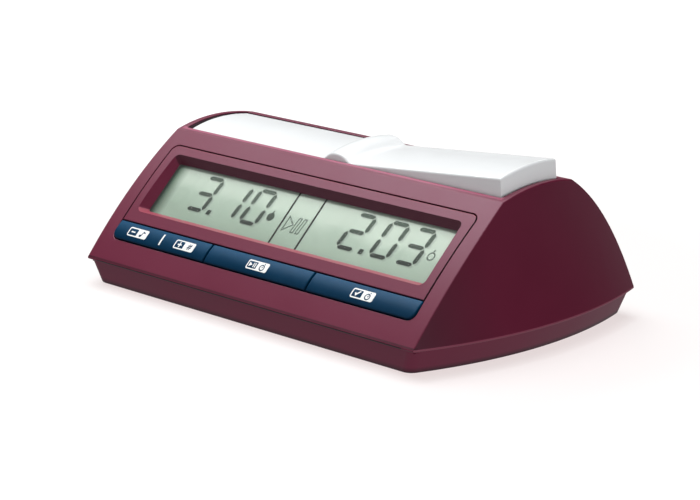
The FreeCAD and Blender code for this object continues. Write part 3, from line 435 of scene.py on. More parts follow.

# %% [markdown]
# The window frame slopes in towards the display.  Its lower wall and its right wall get a painted
# highlight; its upper wall and the outside of its right edge, which lies in the groove round it,
# get painted shade.

# %% Window frame
SILL_LIGHT, RIGHT_WALL_LIGHT = (0.30, 0.042, 0.070), (0.22, 0.025, 0.05)
UPPER_WALL_SHADE = tinted(MAROON, 0.45)
GROOVE_WALL = 1.5                          # how far from the frame's edge the groove reaches
bezel_low, bezel_high = slope_box("display_bezel")


def frame_shading(finish, base):
    """Paints highlights on two inner walls of the frame and painted shade on two other walls."""
    up, left = finish.facing(upslope), finish.facing(-across)
    base = finish.colours(up > 0.3, base, SILL_LIGHT)
    base = finish.colours(left > 0.3, base, RIGHT_WALL_LIGHT)
    base = finish.colours(up < -0.3, base, UPPER_WALL_SHADE)
    outer_edge = finish.along(across) > bezel_high.x - GROOVE_WALL
    return finish.colours((left < -0.5) * outer_edge, base, DEEP_SHADE)


frame_maroon = plastic("frame_maroon", MAROON, 0.42, shading=frame_shading, Specular_Tint=PINK_SHEEN)
print("window frame", frame_maroon.name)

# %% [markdown]
# The lever rocks in a well in the top of the housing.  The walls of the well get a painted shade
# that is nearly black, which draws a dark line round the lever, and its rounded front edge gets a
# painted highlight, a thin pink line.

# %% Lever well
WELL_MARGIN = 1.6                          # from the lever to just behind the walls of its well
RIM_START, RIM_END = 2.2, 0.4              # the front edge, in millimetres in front of the lever
WELL_SHADE, RIM_LIGHT = tinted(MAROON, 0.15), (0.30, 0.062, 0.115)
lever_low, lever_high = (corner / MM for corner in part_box("rocker_lever"))


def beside_lever(finish, front, back):
    """From end to end of the well, between two places from front to back."""
    inside_x = between(finish.along(across), lever_low.x - WELL_MARGIN, lever_high.x + WELL_MARGIN)
    return inside_x * between(finish.along(backward), front, back)


def well_shading(finish, base):
    """Paints shade on the well's walls."""
    inside = beside_lever(finish, lever_low.y - WELL_MARGIN, lever_high.y + WELL_MARGIN)
    return finish.colours(inside * (finish.facing(upright) < 0.5), base, WELL_SHADE)


def rim_shading(finish, base):
    """Paints a highlight on the well's front edge."""
    inside = beside_lever(finish, lever_low.y - RIM_START, lever_low.y - RIM_END)
    return finish.colours(inside * (finish.facing(upright) > 0.5), base, RIM_LIGHT)


print("lever", [round(v, 1) for v in lever_high - lever_low], "mm")

# %% [markdown]
# The housing ends in a lip that hangs over the base.  On the sides the lip's lower edge gets a
# painted highlight, and along the front a painted shadow line runs above it.  The flat sides get
# painted shade that deepens towards the front.  The recess for the window frame sees almost no
# light, so its walls get painted shade.

# %% Housing
LIP_EDGE, LIP_LINE = 1.0, 0.6              # heights of the lit edge and of the dark line above it
EDGE_LIGHT, LINE_SHADE = (0.27, 0.055, 0.095), (0.055, 0.0, 0.010)
SIDE_FRONT, SIDE_BACK = -60.0, -20.0       # where the shade of the flat sides is deepest, and ends
SIDE_DEPTH = 0.6                           # share of that shade at its deepest
GROOVE_DEPTH = 9                           # how far below the frame's face the recess is darkened
housing_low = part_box("upper_housing")[0] / MM


def lip_shading(finish, base):
    """A painted highlight on the lower edge on the sides, a painted shadow line along the front."""
    height = finish.along(upright, housing_low.z)
    base = finish.colours((height < LIP_EDGE) * sideways(finish), base, EDGE_LIGHT)
    line = between(height, LIP_EDGE, LIP_EDGE + LIP_LINE)
    return finish.colours(line * (finish.facing(-backward) > 0.4), base, LINE_SHADE)


def side_shading(finish, base):
    """Paints shade on the flat sides, deeper towards the front edge of the slope."""
    shade = finish.fade(finish.along(backward), SIDE_FRONT, SIDE_BACK, SIDE_DEPTH, 0.0)
    return finish.colours(shade * sideways(finish), base, DEEP_SHADE)


def groove_shading(finish, base):
    """Paints shade on the recess's walls: the upright ones and the one that faces down the slope."""
    within = between(finish.along(across), bezel_low.x - GROOVE_WALL, bezel_high.x + GROOVE_WALL)
    other_faces = (1 - sideways(finish, 0.8)) * (finish.facing(upslope) > -0.5)
    outer = finish.along(outward) > bezel_high.z - GROOVE_DEPTH
    return finish.colours((1 - other_faces) * within * outer, base, DEEP_SHADE)


def housing_shading(finish, base):
    for step in (groove_shading, well_shading, side_shading, lip_shading, rim_shading):
        base = step(finish, base)
    return base


housing_maroon = plastic("housing_maroon", MAROON, 0.42, shading=housing_shading, Specular_Tint=PINK_SHEEN)
print("housing", housing_maroon.name)

# %% [markdown]
# The base is painted a shade lighter than the housing, as painted light, and it turns under at its
# foot, where no lamp reaches it, so its foot gets painted shade.  Its underside is left out of
# that, because it is one even tone on a real clock.

# %% Base
FOOT_HEIGHT = 2.5
base_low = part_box("base_shell")[0] / MM


def foot_shading(finish, base):
    """Paints shade on the lowest part of the base's walls."""
    shade = finish.fade(finish.along(upright, base_low.z), 0.0, FOOT_HEIGHT, 1.0, 0.0)
    return finish.colours(shade * (finish.facing(upright) > -0.75), base, DEEP_SHADE)


# A lighter copy of the maroon for the base: painted light.
painted_lit_base_colour = tinted(MAROON, 1.2)
base_maroon = plastic("base_maroon", painted_lit_base_colour, 0.42, shading=foot_shading, Specular_Tint=PINK_SHEEN)
print("base", base_maroon.name)

# %% [markdown]
# ## Keys
# The keys are moulded in a deep blue.  They are crowned, so the lower edge turns away from the
# lamps, and we help that along with painted shade: a colour that deepens towards the lower edge,
# and turns lighter towards the top as painted light.

# %% Key finish
# Blues from the painted shade at the lower edge of a key to the painted light at its top.
KEY_BLUES = [(0, (0.001, 0.017, 0.042)), (0.45, (0.001, 0.034, 0.082)), (0.9, (0.002, 0.062, 0.145))]


def key_plastic(name):
    low, high = slope_box("key_start_pause")
    finish = Finish(name, Specular_IOR_Level=0.09)
    up = finish.along(upslope, low.y, high.y - low.y)
    cloud = finish.grain(9, 3)
    speck = finish.grain(0.3, 1)
    base = finish.ramp(up * 0.85 + cloud * 0.2 + speck * 0.1 - 0.08, KEY_BLUES)
    return finish.shade(Base_Color=base, Roughness=0.3 + 0.1 * cloud, Normal=finish.relief(speck, 0.005))


key_blue = key_plastic("key_blue")
print("keys", key_blue.name)

# %% [markdown]
# ## Rubber and silicone
# The feet, the stops and the wire sleeves are black rubber: dull, slightly dusty, with a coarser
# mould texture.  The key mat and the connector strips are silicone, which is smoother and greyer.

# %% Rubber finish
def rubber(name, colour, roughness=0.72, grain=0.6):
    finish = Finish(name)
    dust = finish.grain(6, 4)
    pores = finish.grain(grain, 2)
    base = finish.colours(dust, tinted(colour, 0.75), tinted(colour, 1.35))
    dull = roughness - 0.1 + 0.2 * dust
    return finish.shade(Base_Color=base, Roughness=dull, Normal=finish.relief(pores, 0.03, 0.6))


black_rubber = rubber("black_rubber", (0.022, 0.022, 0.023))
silicone = rubber("silicone_grey", (0.34, 0.35, 0.35), 0.5, 0.9)
red_sleeve = rubber("red_wire_sleeve", (0.42, 0.016, 0.014), 0.45, 1.2)
print("rubbers", black_rubber.name, silicone.name, red_sleeve.name)

# %% [markdown]
# ## Metal
# Screws, springs and contacts are small pieces of drawn or stamped metal.  Drawing leaves fine
# streaks along the metal, so the roughness and the relief use a grain stretched in one direction.
# A few duller patches stand for handling.

# %% Metal finish
ALONG_X, ALONG_Y = (1, 12, 12), (12, 1, 12)


def metal(name, colour, roughness, stretch=None):
    finish = Finish(name, Metallic=1.0)
    streak = finish.grain(1.8, 2, stretch)
    patch = finish.grain(5, 3)
    base = finish.colours(patch, tinted(colour, 0.82), tinted(colour, 1.08))
    sheen = roughness - 0.08 + 0.14 * streak + 0.1 * patch
    return finish.shade(Base_Color=base, Roughness=sheen, Normal=finish.relief(streak, 0.008))


steel = metal("screw_steel", (0.56, 0.57, 0.58), 0.28, ALONG_X)
nickel = metal("nickel_plate", (0.66, 0.63, 0.57), 0.22, ALONG_Y)
foil_silver = metal("reflector_foil", (0.62, 0.66, 0.62), 0.35)
print("metals", steel.name, nickel.name, foil_silver.name)

# %% [markdown]
# ## Electronics
# The circuit board carries green lacquer over copper tracks: the tracks show as slightly lighter,
# raised lines, and bare pads are tinned.  Bent bands, cut up by the cells of a second pattern, look
# enough like tracks on a board that mostly hides inside the case.  Chips are black moulded epoxy
# with a matt skin.  White connectors are nylon.

# %% Circuit board finish
LACQUER, OVER_COPPER, TINNED = (0.008, 0.085, 0.035), (0.022, 0.16, 0.06), (0.62, 0.6, 0.55)
BAND_SCALE, CELL_SCALE, PAD_SCALE = 150.0, 210.0, 240.0


def board_lacquer(name):
    finish = Finish(name, Coat_Weight=0.4)
    spread = finish.vectors("MULTIPLY", finish.place(), (1, 1.35, 1.35))
    diagonal = {"wave_type": "BANDS", "bands_direction": "DIAGONAL"}
    bent = {"Vector": spread, "Scale": BAND_SCALE, "Distortion": 6.0, "Detail": 1.0, "Detail Scale": 0.6}
    band = finish.node("ShaderNodeTexWave", diagonal, bent, 1)
    to_edge = {"feature": "DISTANCE_TO_EDGE"}
    cell = finish.node("ShaderNodeTexVoronoi", to_edge, {"Vector": spread, "Scale": CELL_SCALE})
    dot = finish.node("ShaderNodeTexVoronoi", None, {"Vector": spread, "Scale": PAD_SCALE})
    tracks = (band > 0.62) * (cell > 0.05)
    pads = dot < 0.13
    base = finish.colours(pads, finish.colours(tracks, LACQUER, OVER_COPPER), TINNED)
    relief = finish.relief(tracks + 0.8 * pads, 0.05, 0.6)
    return finish.shade(Base_Color=base, Metallic=pads * 0.9, Roughness=0.28 + 0.1 * tracks, Normal=relief)


board_green = board_lacquer("board_lacquer")
epoxy = plastic("chip_epoxy", (0.018, 0.018, 0.019), 0.55, 0.25, 0.015, 0.25)
nylon = plastic("white_nylon", (0.66, 0.64, 0.58), 0.42, 0.5)
print("electronics", board_green.name, epoxy.name, nylon.name)

# %% [markdown]
# ## Battery cells
# A cell wears a printed shrink sleeve.  Here it is a plain generic one: a dark body with a copper
# coloured shoulder at one end, glossy, with tiny wrinkles across the sleeve.

# %% Battery sleeve
SHOULDER_START = 0.74                      # share of the cells' length where the copper colour begins


def battery_sleeve(name):
    low, high = (corner.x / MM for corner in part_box("battery_cells"))
    finish = Finish(name, Coat_Weight=0.5)
    shoulder = finish.along(across, low, high - low) > SHOULDER_START
    wrinkle = finish.grain(1.2, 2, (1, 8, 8))
    dark = finish.colours(finish.grain(9, 2), (0.02, 0.022, 0.028), (0.035, 0.038, 0.046))
    base = finish.colours(shoulder, dark, (0.50, 0.23, 0.09))
    relief = finish.relief(wrinkle, 0.02)
    gloss = 0.3 + 0.1 * wrinkle
    return finish.shade(Base_Color=base, Metallic=shoulder * 0.6, Roughness=gloss, Normal=relief)


sleeve = battery_sleeve("battery_sleeve")
print("sleeve", sleeve.name)

# %% [markdown]
# ## Liquid crystal display
# What we see through the window is the front glass of the display with a pale grey-green
# reflector behind it.  Its colour is painted brighter towards the top, as a painted reflection of
# the lamp, and a little brighter towards the right, and it has a very fine grain from the reflector
# foil.  A thin strip along its top and its left edge gets a painted shadow of the window frame, and
# the sheet glows faintly in its own colour, a painted glow.  We paint the glass as one opaque pale
# sheet, because the figures lie right on it and nothing behind it can be seen.

# %% Display finish
PALE_GREENS = [(0, (0.27, 0.36, 0.285)), (0.45, (0.37, 0.465, 0.385)),
               (0.62, (0.51, 0.605, 0.52)), (1, (0.58, 0.67, 0.585))]
# Painted shadow of the window frame along the top and the left edge of the glass.
TOP_STRIP, TOP_SHADE = (0.02, 0.085), (0.08, 0.15, 0.10)    # shares of the glass, and a colour
LEFT_STRIP, LEFT_SHADE = (0.015, 0.05), (0.15, 0.24, 0.18)
UNSHADED = (1, 1, 1)


def display_sheet(name, shade=1.0):
    """The pale sheet with its painted reflection, shadow and glow, or the same a shade darker for what
    shows through it.
    """
    finish = Finish(name, Specular_IOR_Level=0.4, Emission_Strength=0.02)
    up = finish.along(upslope, glass_low.y, glass_high.y - glass_low.y)
    side = finish.along(across, glass_low.x, glass_high.x - glass_low.x)
    # Brighter towards the top and the right: painted light, with the top as a painted reflection of the
    # lamp.
    level = up * 1.25 + finish.grain(26, 2) * 0.45 + side * 0.3 - 0.52
    base = finish.ramp(level, [(place, tinted(colour, shade)) for place, colour in PALE_GREENS])
    foil = finish.grain(0.4, 1)
    base = finish.times(base, finish.colours(foil, (0.95, 0.95, 0.95), UNSHADED))
    base = finish.times(base, finish.colours(finish.fade(1 - up, *TOP_STRIP), TOP_SHADE, UNSHADED))
    base = finish.times(base, finish.colours(finish.fade(side, *LEFT_STRIP), LEFT_SHADE, UNSHADED))
    grain = finish.relief(foil, 0.003, 0.4)
    return finish.shade(Base_Color=base, Emission_Color=base, Roughness=0.32 + 0.08 * foil, Normal=grain)


liquid_crystal = display_sheet("liquid_crystal")
print("display", liquid_crystal.name)

# %% [markdown]
# The window in front of the display is a clear acrylic sheet.  A real glass shader would block
# the lamp light on its way to the display, so the sheet is mostly a plain see-through shader with
# a mirror mixed in.  The mirror's share grows at a flat angle, and fine wiping marks dull it here
# and there.

# %% Clear window finish
LEAST_MIRROR, GLANCING_MIRROR = 0.015, 0.10


def clear_sheet(name):
    finish = Finish(name, Base_Color=(1, 1, 1))
    wiped = finish.grain(3, 4, (1, 5, 5))
    finish.shade(Roughness=0.04 + 0.06 * wiped, Normal=finish.relief(wiped, 0.002, 0.3))
    glancing = finish.node("ShaderNodeLayerWeight", None, {"Blend": 0.5}, 1)
    share = LEAST_MIRROR + GLANCING_MIRROR * glancing * glancing
    clear = finish.node("ShaderNodeBsdfTransparent", None, {"Color": (0.985, 0.995, 0.985)})
    mirror = Varying(finish, finish.shader.outputs[0])
    mixed = finish.node("ShaderNodeMixShader", None, {0: share, 1: clear, 2: mirror})
    finish.feed(finish.tree.nodes["Material Output"].inputs["Surface"], mixed)
    return finish.material


clear = clear_sheet("clear_acrylic")
print("window", clear.name)

# %% [markdown]
# ## Dressing the parts
# Every part came with the name of the material it is made of, so one table from material to
# finish dresses them all.  A few parts then get a finish of their own.

# %% Dress the parts
finishes = {
    "housing": maroon, "white_plastic": lever_white, "key_plastic": key_blue, "clear_plastic": clear,
    "display_glass": liquid_crystal, "reflector_film": foil_silver, "inner_plastic": inner_grey,
    "silicone": silicone, "black_rubber": black_rubber, "circuit_board": board_green,
    "black_component": epoxy, "white_component": nylon, "steel": steel, "nickel": nickel,
    "battery_sleeve": sleeve,
}
# The window frame, the housing and the base get maroon finishes with painted light and shade.
own_finish = {"battery_lead_red": red_sleeve, "display_bezel": frame_maroon,
              "upper_housing": housing_maroon, "base_shell": base_maroon}
for name, part in frame["nodes"].items():
    for place in part.material_slots:
        made_of = place.material.name.split(".")[0]
        place.material = own_finish.get(name, finishes[made_of])
print("dressed", len(frame["nodes"]), "parts")

# %% [markdown]
# ## Printing on a surface
# Symbols on keys are screen printed: a film of ink a few hundredths of a millimetre thick that
# follows the crown of the key.  We fill a flat outline and slice it into narrow strips so that it
# can bend.  The figures of the display are made the same way, without the slices, because the
# glass is flat.

# %% Fill and slice an outline
def filled(loops):
    """A flat mesh that fills closed loops of (across, up) points; inner loops are holes."""
    sheet = bmesh.new()
    edges = []
    for loop in loops:
        corners = [sheet.verts.new((x, up, 0)) for x, up in loop]
        edges += [sheet.edges.new(pair) for pair in zip(corners, corners[1:] + corners[:1])]
    bmesh.ops.triangle_fill(sheet, use_beauty=True, edges=edges)
    return sheet


def cut_into_strips(sheet, pitch):
    heights = [vertex.co.y for vertex in sheet.verts]
    cut = min(heights) + pitch
    while cut < max(heights):
        whole = sheet.verts[:] + sheet.edges[:] + sheet.faces[:]
        bmesh.ops.bisect_plane(sheet, geom=whole, dist=1e-6, plane_co=(0, cut, 0), plane_no=(0, 1, 0))
        cut += pitch


def flat_film(islands, pitch):
    """One flat mesh of several islands, in strips if there is a pitch."""
    film = bmesh.new()
    for loops in islands:
        sheet = filled(loops)
        if pitch:
            cut_into_strips(sheet, pitch)
        island = bpy.data.meshes.new("island")
        sheet.to_mesh(island)
        sheet.free()
        film.from_mesh(island)
        bpy.data.meshes.remove(island)
    return film


print("flat films ready")

# %% [markdown]
# Now the film is laid on the part.  It gets a second layer, and every point of both layers is
# dropped onto the part with a ray: the lower layer ends up just inside the part and the upper one
# just above it, so the film has a thin edge and leaves no gap.

# %% Drape a film
RAY_START = 5                              # millimetres above the part from which the points drop


def draped(name, islands, node, finish, lift, sink, pitch=0.0):
    """A film on a part, from sink below the part's outer face to lift above it."""
    part = frame["nodes"][node].data
    surface = BVHTree.FromPolygons([v.co for v in part.vertices], [p.vertices for p in part.polygons])
    start = slope_box(node)[1].z + RAY_START
    film = flat_film(islands, pitch)
    bottom = film.verts[:]
    layer = bmesh.ops.extrude_face_region(film, geom=film.faces[:])["geom"]
    top = [item for item in layer if isinstance(item, bmesh.types.BMVert)]
    for vertices, offset in ((bottom, -sink), (top, lift)):
        for vertex in vertices:
            hit = surface.ray_cast(on_slope(vertex.co.x, vertex.co.y, start), -outward)[0]
            vertex.co = on_slope(vertex.co.x, vertex.co.y, hit.dot(outward) / MM + offset)
    bmesh.ops.recalc_face_normals(film, faces=film.faces[:])
    mesh = bpy.data.meshes.new(name)
    film.to_mesh(mesh)
    film.free()
    mesh.materials.append(finish)
    piece = bpy.data.objects.new(name, mesh)
    bpy.context.collection.objects.link(piece)
    return piece


print("draping ready")

# %% [markdown]
# A few outlines turn up again and again: a box, a box with round corners, a disc and a stroke
# with some width.  Each is a short function that returns points, so that a symbol is a list of
# simple shapes.  A shape is a list of loops, and a symbol is a list of shapes.

# %% Outline shapes
def box_loop(x, up, width, height):
    half, rise = width / 2, height / 2
    return [(x - half, up - rise), (x + half, up - rise), (x + half, up + rise), (x - half, up + rise)]


def round_box(x, up, width, height, radius, steps=5):
    points = []
    for turn, (sx, sy) in enumerate(((1, 1), (-1, 1), (-1, -1), (1, -1))):
        cx, cy = x + sx * (width / 2 - radius), up + sy * (height / 2 - radius)
        for step in range(steps + 1):
            angle = math.radians(90 * (turn + step / steps))
            points.append((cx + radius * math.cos(angle), cy + radius * math.sin(angle)))
    return points


def disc(x, up, radius, steps=20):
    angles = [math.tau * step / steps for step in range(steps)]
    return [(x + radius * math.cos(angle), up + radius * math.sin(angle)) for angle in angles]


def stroke(x0, up0, x1, up1, width):
    start, end = Vector((x0, up0)), Vector((x1, up1))
    run = (end - start).normalized() * width / 2
    side = Vector((-run.y, run.x))
    return [tuple(corner) for corner in (start + side, start - side, end - side, end + side)]


def moved(loops, dx, dup):
    return [[(x + dx, up + dup) for x, up in loop] for loop in loops]


def grown(loops, factor):
    return [[(x * factor, up * factor) for x, up in loop] for loop in loops]


print("shapes: box, round box, disc, stroke")

# %% [markdown]
# ## Figures of the display
# Each figure is built from seven bars with bevelled ends that lean a little to the right.  A bar
# that is switched on is dark; one that is off can still be made out as a faint trace in the
# glass.  Beside each dark bar we lay a painted shadow: a grey copy of the bar, shifted a little, for
# the shadow it would throw on the reflector behind it.

# %% The seven bars
FIGURE_HALF_WIDTH, FIGURE_HALF_HEIGHT = 4.55, 7.75
LEAN = 0.105                               # how far a figure leans to the right per millimetre up
FLAT_BAR, UPRIGHT_BAR = 1.85, 2.2          # thickness of the level bars and of the upright ones
BAR_GAP = 0.35                             # from a bar's tip to the corner of the figure
BARS_ON = {0: "abcdef", 1: "bc", 2: "abged", 3: "abgcd", None: ""}
BAR_MIDDLES = {"a": (0, 1), "g": (0, 0), "d": (0, -1),
               "b": (1, 0.5), "c": (1, -0.5), "e": (-1, -0.5), "f": (-1, 0.5)}


def bar_loop(letter):
    """Outline of one bar about the middle of its figure, upright."""
    across_share, up_share = BAR_MIDDLES[letter]
    x, up = FIGURE_HALF_WIDTH * across_share, FIGURE_HALF_HEIGHT * up_share
    if letter in "agd":
        half, thick = FIGURE_HALF_WIDTH - BAR_GAP, FLAT_BAR / 2
        ends = [(half, 0), (half - thick, thick), (thick - half, thick),
                (-half, 0), (thick - half, -thick), (half - thick, -thick)]
    else:
        half, thick = FIGURE_HALF_HEIGHT / 2 - BAR_GAP, UPRIGHT_BAR / 2
        ends = [(0, half), (-thick, half - thick), (-thick, thick - half),
                (0, -half), (thick, thick - half), (thick, half - thick)]
    return [(x + dx, up + dy) for dx, dy in ends]


def leaning(loop, x, up):
    return [(x + px + LEAN * py, up + py) for px, py in loop]


print("bars per figure", {figure: len(bars) for figure, bars in BARS_ON.items()})

# %% Both times
FIGURES_UP = glass_middle.y + 2.2
FIGURE_PLACES = (-14.35, 0.0, 18.2, 32.55)  # from the figure that stands before the point
POINT_PLACE, POINT_RISE, POINT_SIZE = 8.8, 0.2, 2.3
LEFT_TIME, RIGHT_TIME = -57.8, 32.05       # places of those two figures across the front
times = {"left": (LEFT_TIME, (None, 3, 1, 0)), "right": (RIGHT_TIME, (None, 2, 0, 3))}


def bars_of(first, figures, lit):
    """The bars of one time that are on, with the point, or the bars that are off."""
    islands = []
    for place, figure in zip(FIGURE_PLACES, figures):
        chosen = [letter for letter in "abcdefg" if (letter in BARS_ON[figure]) == lit]
        islands += [[leaning(bar_loop(letter), first + place, FIGURES_UP)] for letter in chosen]
    if lit:
        point = box_loop(POINT_PLACE, POINT_RISE - FIGURE_HALF_HEIGHT, POINT_SIZE, POINT_SIZE)
        islands.append([leaning(point, first, FIGURES_UP)])
    return islands


print("left shows", times["left"][1], "right shows", times["right"][1])

# %% [markdown]
# The switched-on bars are not quite even in tone: the contrast of a liquid crystal drops when the
# lamp glances off it, so we paint the bars paler at the top of the glass, a painted reflection.  The
# traces and the painted shadows are the display's own colour, a shade darker.

# %% Bar finishes
def bar_finish(name, low, high):
    """A tone painted paler from the foot of the figures to their top, a painted reflection."""
    finish = Finish(name, Specular_IOR_Level=0.04)
    up = finish.along(upslope, FIGURES_UP - FIGURE_HALF_HEIGHT, 2 * FIGURE_HALF_HEIGHT)
    mottle = finish.grain(0.6, 2)
    base = finish.colours(up * 0.9 + mottle * 0.1, low, high)
    return finish.shade(Base_Color=base, Roughness=0.35 + 0.1 * mottle)


bar_dark = bar_finish("bar_dark", (0.002, 0.010, 0.005), (0.08, 0.115, 0.088))
bar_trace = display_sheet("bar_trace", 0.965)
# The painted shadow beside each lit bar.
bar_shadow = display_sheet("bar_shadow", 0.74)
print("bar finishes", bar_dark.name, bar_trace.name, bar_shadow.name)

# %% [markdown]
# Traces, shadows and figures lie in one another's way, so each kind is lifted a hundredth of a
# millimetre or two above the last.  All of them ride on the body of the case, like the glass.

# %% Lay the figures
TRACE_LIFT, SHADOW_LIFT, LINE_LIFT, FIGURE_LIFT, WATCH_LIFT = 0.01, 0.02, 0.03, 0.04, 0.05
FIGURE_SINK = 0.01
SHADOW_RIGHT, SHADOW_DOWN = 1.1, 0.5


def on_display(name, islands, finish, lift):
    piece = draped(name, islands, "display_glass", finish, lift, FIGURE_SINK)
    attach(piece, "root")
    return piece


for side, (first, figures) in times.items():
    lit = bars_of(first, figures, True)
    shadows = [moved(loops, SHADOW_RIGHT, -SHADOW_DOWN) for loops in lit]
    on_display(f"bar_traces_{side}", bars_of(first, figures, False), bar_trace, TRACE_LIFT)
    on_display(f"bar_shadows_{side}", shadows, bar_shadow, SHADOW_LIFT)
    on_display(f"figures_{side}", lit, bar_dark, FIGURE_LIFT)
print("figures laid")

# %% [markdown]
# Between the two times the display has two upright lines and the outline of a play and a pause
# sign.  Beside each last figure sits a small stopwatch: filled in on the side whose time runs.

# %% Signs of the display
DIVIDER_PLACES, DIVIDER_WIDTH, DIVIDER_MARGIN = (-8.15, 7.2), 1.05, 0.5
PAUSE_PLACES = (0.2, 3.2)
SIGNS_UP = FIGURES_UP - 3.7
LEFT_WATCH_X, LEFT_WATCH_DOWN, LEFT_WATCH_RADIUS = -15.65, 2.7, 2.0
RIGHT_WATCH_X, RIGHT_WATCH_DOWN, RIGHT_WATCH_RADIUS, RIGHT_WATCH_LINE = 74.35, 2.35, 1.95, 0.6


def stopwatch(x, up, radius, line=None):
    """A stopwatch: a disc, or a ring of a given line width, with a short crown."""
    face = [disc(x, up, radius)]
    if line:
        face.append(disc(x, up, radius - line))
    crown = [stroke(x - 0.1, up + radius + 0.15, x + 0.45, up + radius + 1.05, 0.7)]
    return [face, crown]


def pause_bar(x):
    """One upright of the pause sign: a leaning outline."""
    outer, inner = round_box(x, 0, 2.1, 7.4, 0.3), round_box(x, 0, 1.0, 6.3, 0.15)
    return [leaning(loop, 0, SIGNS_UP) for loop in (outer, inner)]


divider_height = glass_high.y - glass_low.y - 2 * DIVIDER_MARGIN
dividers = [[box_loop(x, glass_middle.y, DIVIDER_WIDTH, divider_height)] for x in DIVIDER_PLACES]
play = [[(-6.15, -3.85), (-1.1, 0), (-6.05, 3.85)], [(-5.5, -2.7), (-2.1, 0), (-5.45, 2.7)]]
play_pause = [moved(play, 0, SIGNS_UP)] + [pause_bar(x) for x in PAUSE_PLACES]
ink_line = bar_finish("display_line", (0.002, 0.003, 0.002), (0.003, 0.005, 0.003))
sign_grey = bar_finish("sign_grey", (0.07, 0.10, 0.08), (0.11, 0.14, 0.12))
on_display("display_dividers", dividers, ink_line, LINE_LIFT)
on_display("play_pause_sign", play_pause, sign_grey, LINE_LIFT)
left_watch = stopwatch(LEFT_WATCH_X, FIGURES_UP - LEFT_WATCH_DOWN, LEFT_WATCH_RADIUS)
right_up = FIGURES_UP - RIGHT_WATCH_DOWN
right_watch = stopwatch(RIGHT_WATCH_X, right_up, RIGHT_WATCH_RADIUS, RIGHT_WATCH_LINE)
on_display("stopwatch_left", left_watch, bar_dark, WATCH_LIFT)
on_display("stopwatch_right", right_watch, sign_grey, WATCH_LIFT)
print("signs laid")

# %% [markdown]
# ## Symbols on the keys
# The symbols are printed in white ink.  The mesh of the printing screen leaves a faint weave in
# the ink, and fingers wear it unevenly.

# %% Ink
def printed_ink(name):
    finish = Finish(name)
    screen = finish.grain(0.25, 1)
    wear = finish.grain(2.2, 4)
    base = finish.colours(wear, (0.84, 0.85, 0.84), (0.93, 0.94, 0.93))
    return finish.shade(Base_Color=base, Roughness=0.45 + 0.12 * wear, Normal=finish.relief(screen, 0.004))


white_ink = printed_ink("white_ink")
print("ink", white_ink.name)

# %% [markdown]
# Each symbol sits in a white box with round corners.  The left half of a box is open and shows a
# white sign on the blue key; the right half is solid, and its sign is left out of the ink so that
# the key shows through.

# %% Boxes and their signs
BOX_WIDTH, BOX_HEIGHT, BOX_CORNER, BOX_LINE = 12.0, 4.2, 0.8, 0.55
WINDOW_CORNER = 0.35
OPEN_SHARE = 0.47                          # share of the box that is open
SIGN_SCALE = 1.12                          # of the signs that are left out of the ink


def symbol_box(x, up, signs, left_out, islands=()):
    """A printed box: signs stand in its open left half and are left out of its solid right half."""
    left = x - BOX_WIDTH / 2
    split = left + BOX_WIDTH * OPEN_SHARE
    open_middle = (left + BOX_LINE + split) / 2
    solid_middle = (split + left + BOX_WIDTH) / 2
    window_height = BOX_HEIGHT - 2 * BOX_LINE
    window = round_box(open_middle, up, split - left - BOX_LINE, window_height, WINDOW_CORNER)
    box = [round_box(x, up, BOX_WIDTH, BOX_HEIGHT, BOX_CORNER), window]
    box += moved(grown(left_out, SIGN_SCALE), solid_middle, up)
    inside = [moved(loops, open_middle, up) for loops in signs]
    inside += [moved(grown(loops, SIGN_SCALE), solid_middle, up) for loops in islands]
    return [box] + inside


minus_sign = [[box_loop(0, 0, 2.4, 0.62)]]
plus_sign = [[[(-1.2, -0.3), (-0.3, -0.3), (-0.3, -1.2), (0.3, -1.2), (0.3, -0.3), (1.2, -0.3),
               (1.2, 0.3), (0.3, 0.3), (0.3, 1.2), (-0.3, 1.2), (-0.3, 0.3), (-1.2, 0.3)]]]
run_sign = [[[(-1.9, -1.05), (-0.1, 0), (-1.9, 1.05)]],
            [box_loop(0.65, 0, 0.5, 2.0)], [box_loop(1.6, 0, 0.5, 2.0)]]
tick_sign = [[[(-1.35, 0.1), (-0.55, -1.15), (1.6, 1.1), (0.95, 1.25), (-0.5, -0.1), (-0.85, 0.45)]]]
print("signs drawn")

# %% [markdown]
# The signs in the solid halves are a musical note for the beep, a number sign for the count of
# moves, and two stopwatches.  A ring left out of the ink needs its middle back as an island.

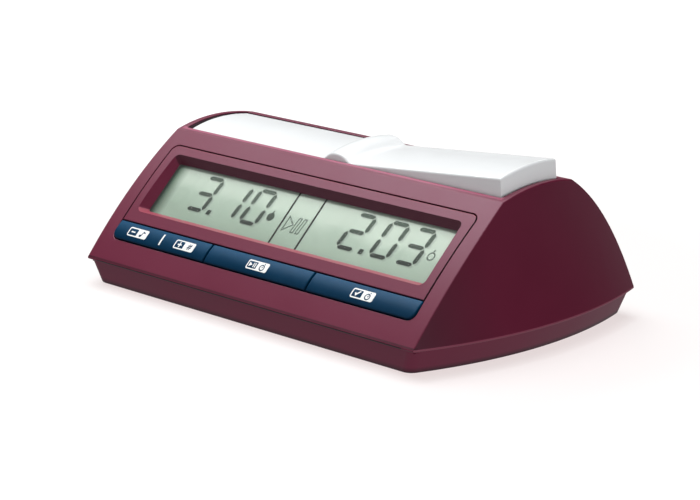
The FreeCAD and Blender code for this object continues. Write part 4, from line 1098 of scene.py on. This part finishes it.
# %% Signs left out of the ink
note = [[(-1.45, -0.75), (-1.1, -1.3), (-0.45, -1.3), (-0.1, -0.85), (0.35, 0.55), (1.3, 0.3),
         (1.4, 0.75), (0.15, 1.3), (-0.45, -0.35), (-1.1, -0.3)]]
number_sign = [[(-0.9, -0.55), (-0.5, -0.55), (-0.7, -1.2), (-0.3, -1.2), (-0.1, -0.55), (0.35, -0.55),
                (0.15, -1.2), (0.55, -1.2), (0.75, -0.55), (1.15, -0.55), (1.25, -0.15), (0.85, -0.15),
                (0.95, 0.2), (1.35, 0.2), (1.45, 0.6), (1.05, 0.6), (1.25, 1.2), (0.85, 1.2),
                (0.65, 0.6), (0.2, 0.6), (0.4, 1.2), (0.0, 1.2), (-0.2, 0.6), (-0.6, 0.6),
                (-0.7, 0.2), (-0.3, 0.2), (-0.4, -0.15), (-0.8, -0.15)]]
number_middle = [[(0.0, -0.15), (0.45, -0.15), (0.55, 0.2), (0.1, 0.2)]]
watch_hole = [disc(-0.1, -0.3, 1.3), stroke(0.45, 1.12, 0.7, 1.4, 0.7)]
watch_face = [disc(-0.1, -0.3, 0.85), stroke(-0.15, -0.4, 0.3, 0.2, 0.35)]
print("left-out signs drawn")

# %% [markdown]
# The minus and the plus box share one rocking key, with a short line between them.  The symbols
# follow the keys: each one rides on its key's body and goes down with it.

# %% Print the keys
INK_LIFT = INK_SINK = 0.03
STRIP_PITCH = 0.5
SYMBOLS_UP = 0.1                           # from the middle line of the keys
MINUS_LEFT, PLUS_RIGHT, DIVIDER_RIGHT = 14.6, 15.0, 0.65
START_PLACE, CONFIRM_RIGHT = 0.05, 0.15
DIVIDER_BOX = (0.85, 5.2)


def middle(low, high):
    return (low + high) / 2


def print_on_key(name, key, body, islands):
    piece = draped(name, islands, key, white_ink, INK_LIFT, INK_SINK, STRIP_PITCH)
    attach(piece, body)
    return piece


rocking_low, rocking_high = slope_box("key_minus_plus")
confirm_low, confirm_high = slope_box("key_confirm")
rocking_x = middle(rocking_low.x, rocking_high.x)
confirm_x = middle(confirm_low.x, confirm_high.x) + CONFIRM_RIGHT
row = middle(rocking_low.y, rocking_high.y) + SYMBOLS_UP
minus_box = symbol_box(rocking_x - MINUS_LEFT, row, minus_sign, note)
plus_box = symbol_box(rocking_x + PLUS_RIGHT, row, plus_sign, number_sign, [number_middle])
divider = [[box_loop(rocking_x + DIVIDER_RIGHT, row, *DIVIDER_BOX)]]
start_box = symbol_box(START_PLACE, row, run_sign, watch_hole, [watch_face])
confirm_box = symbol_box(confirm_x, row, tick_sign, watch_hole, [watch_face])
print_on_key("symbol_minus", "key_minus_plus", "minus_plus_key", minus_box)
print_on_key("symbol_plus", "key_minus_plus", "minus_plus_key", plus_box)
print_on_key("symbol_divider", "key_minus_plus", "minus_plus_key", divider)
print_on_key("symbol_start_pause", "key_start_pause", "start_pause_key", start_box)
print_on_key("symbol_confirm", "key_confirm", "confirm_key", confirm_box)
print("keys printed")
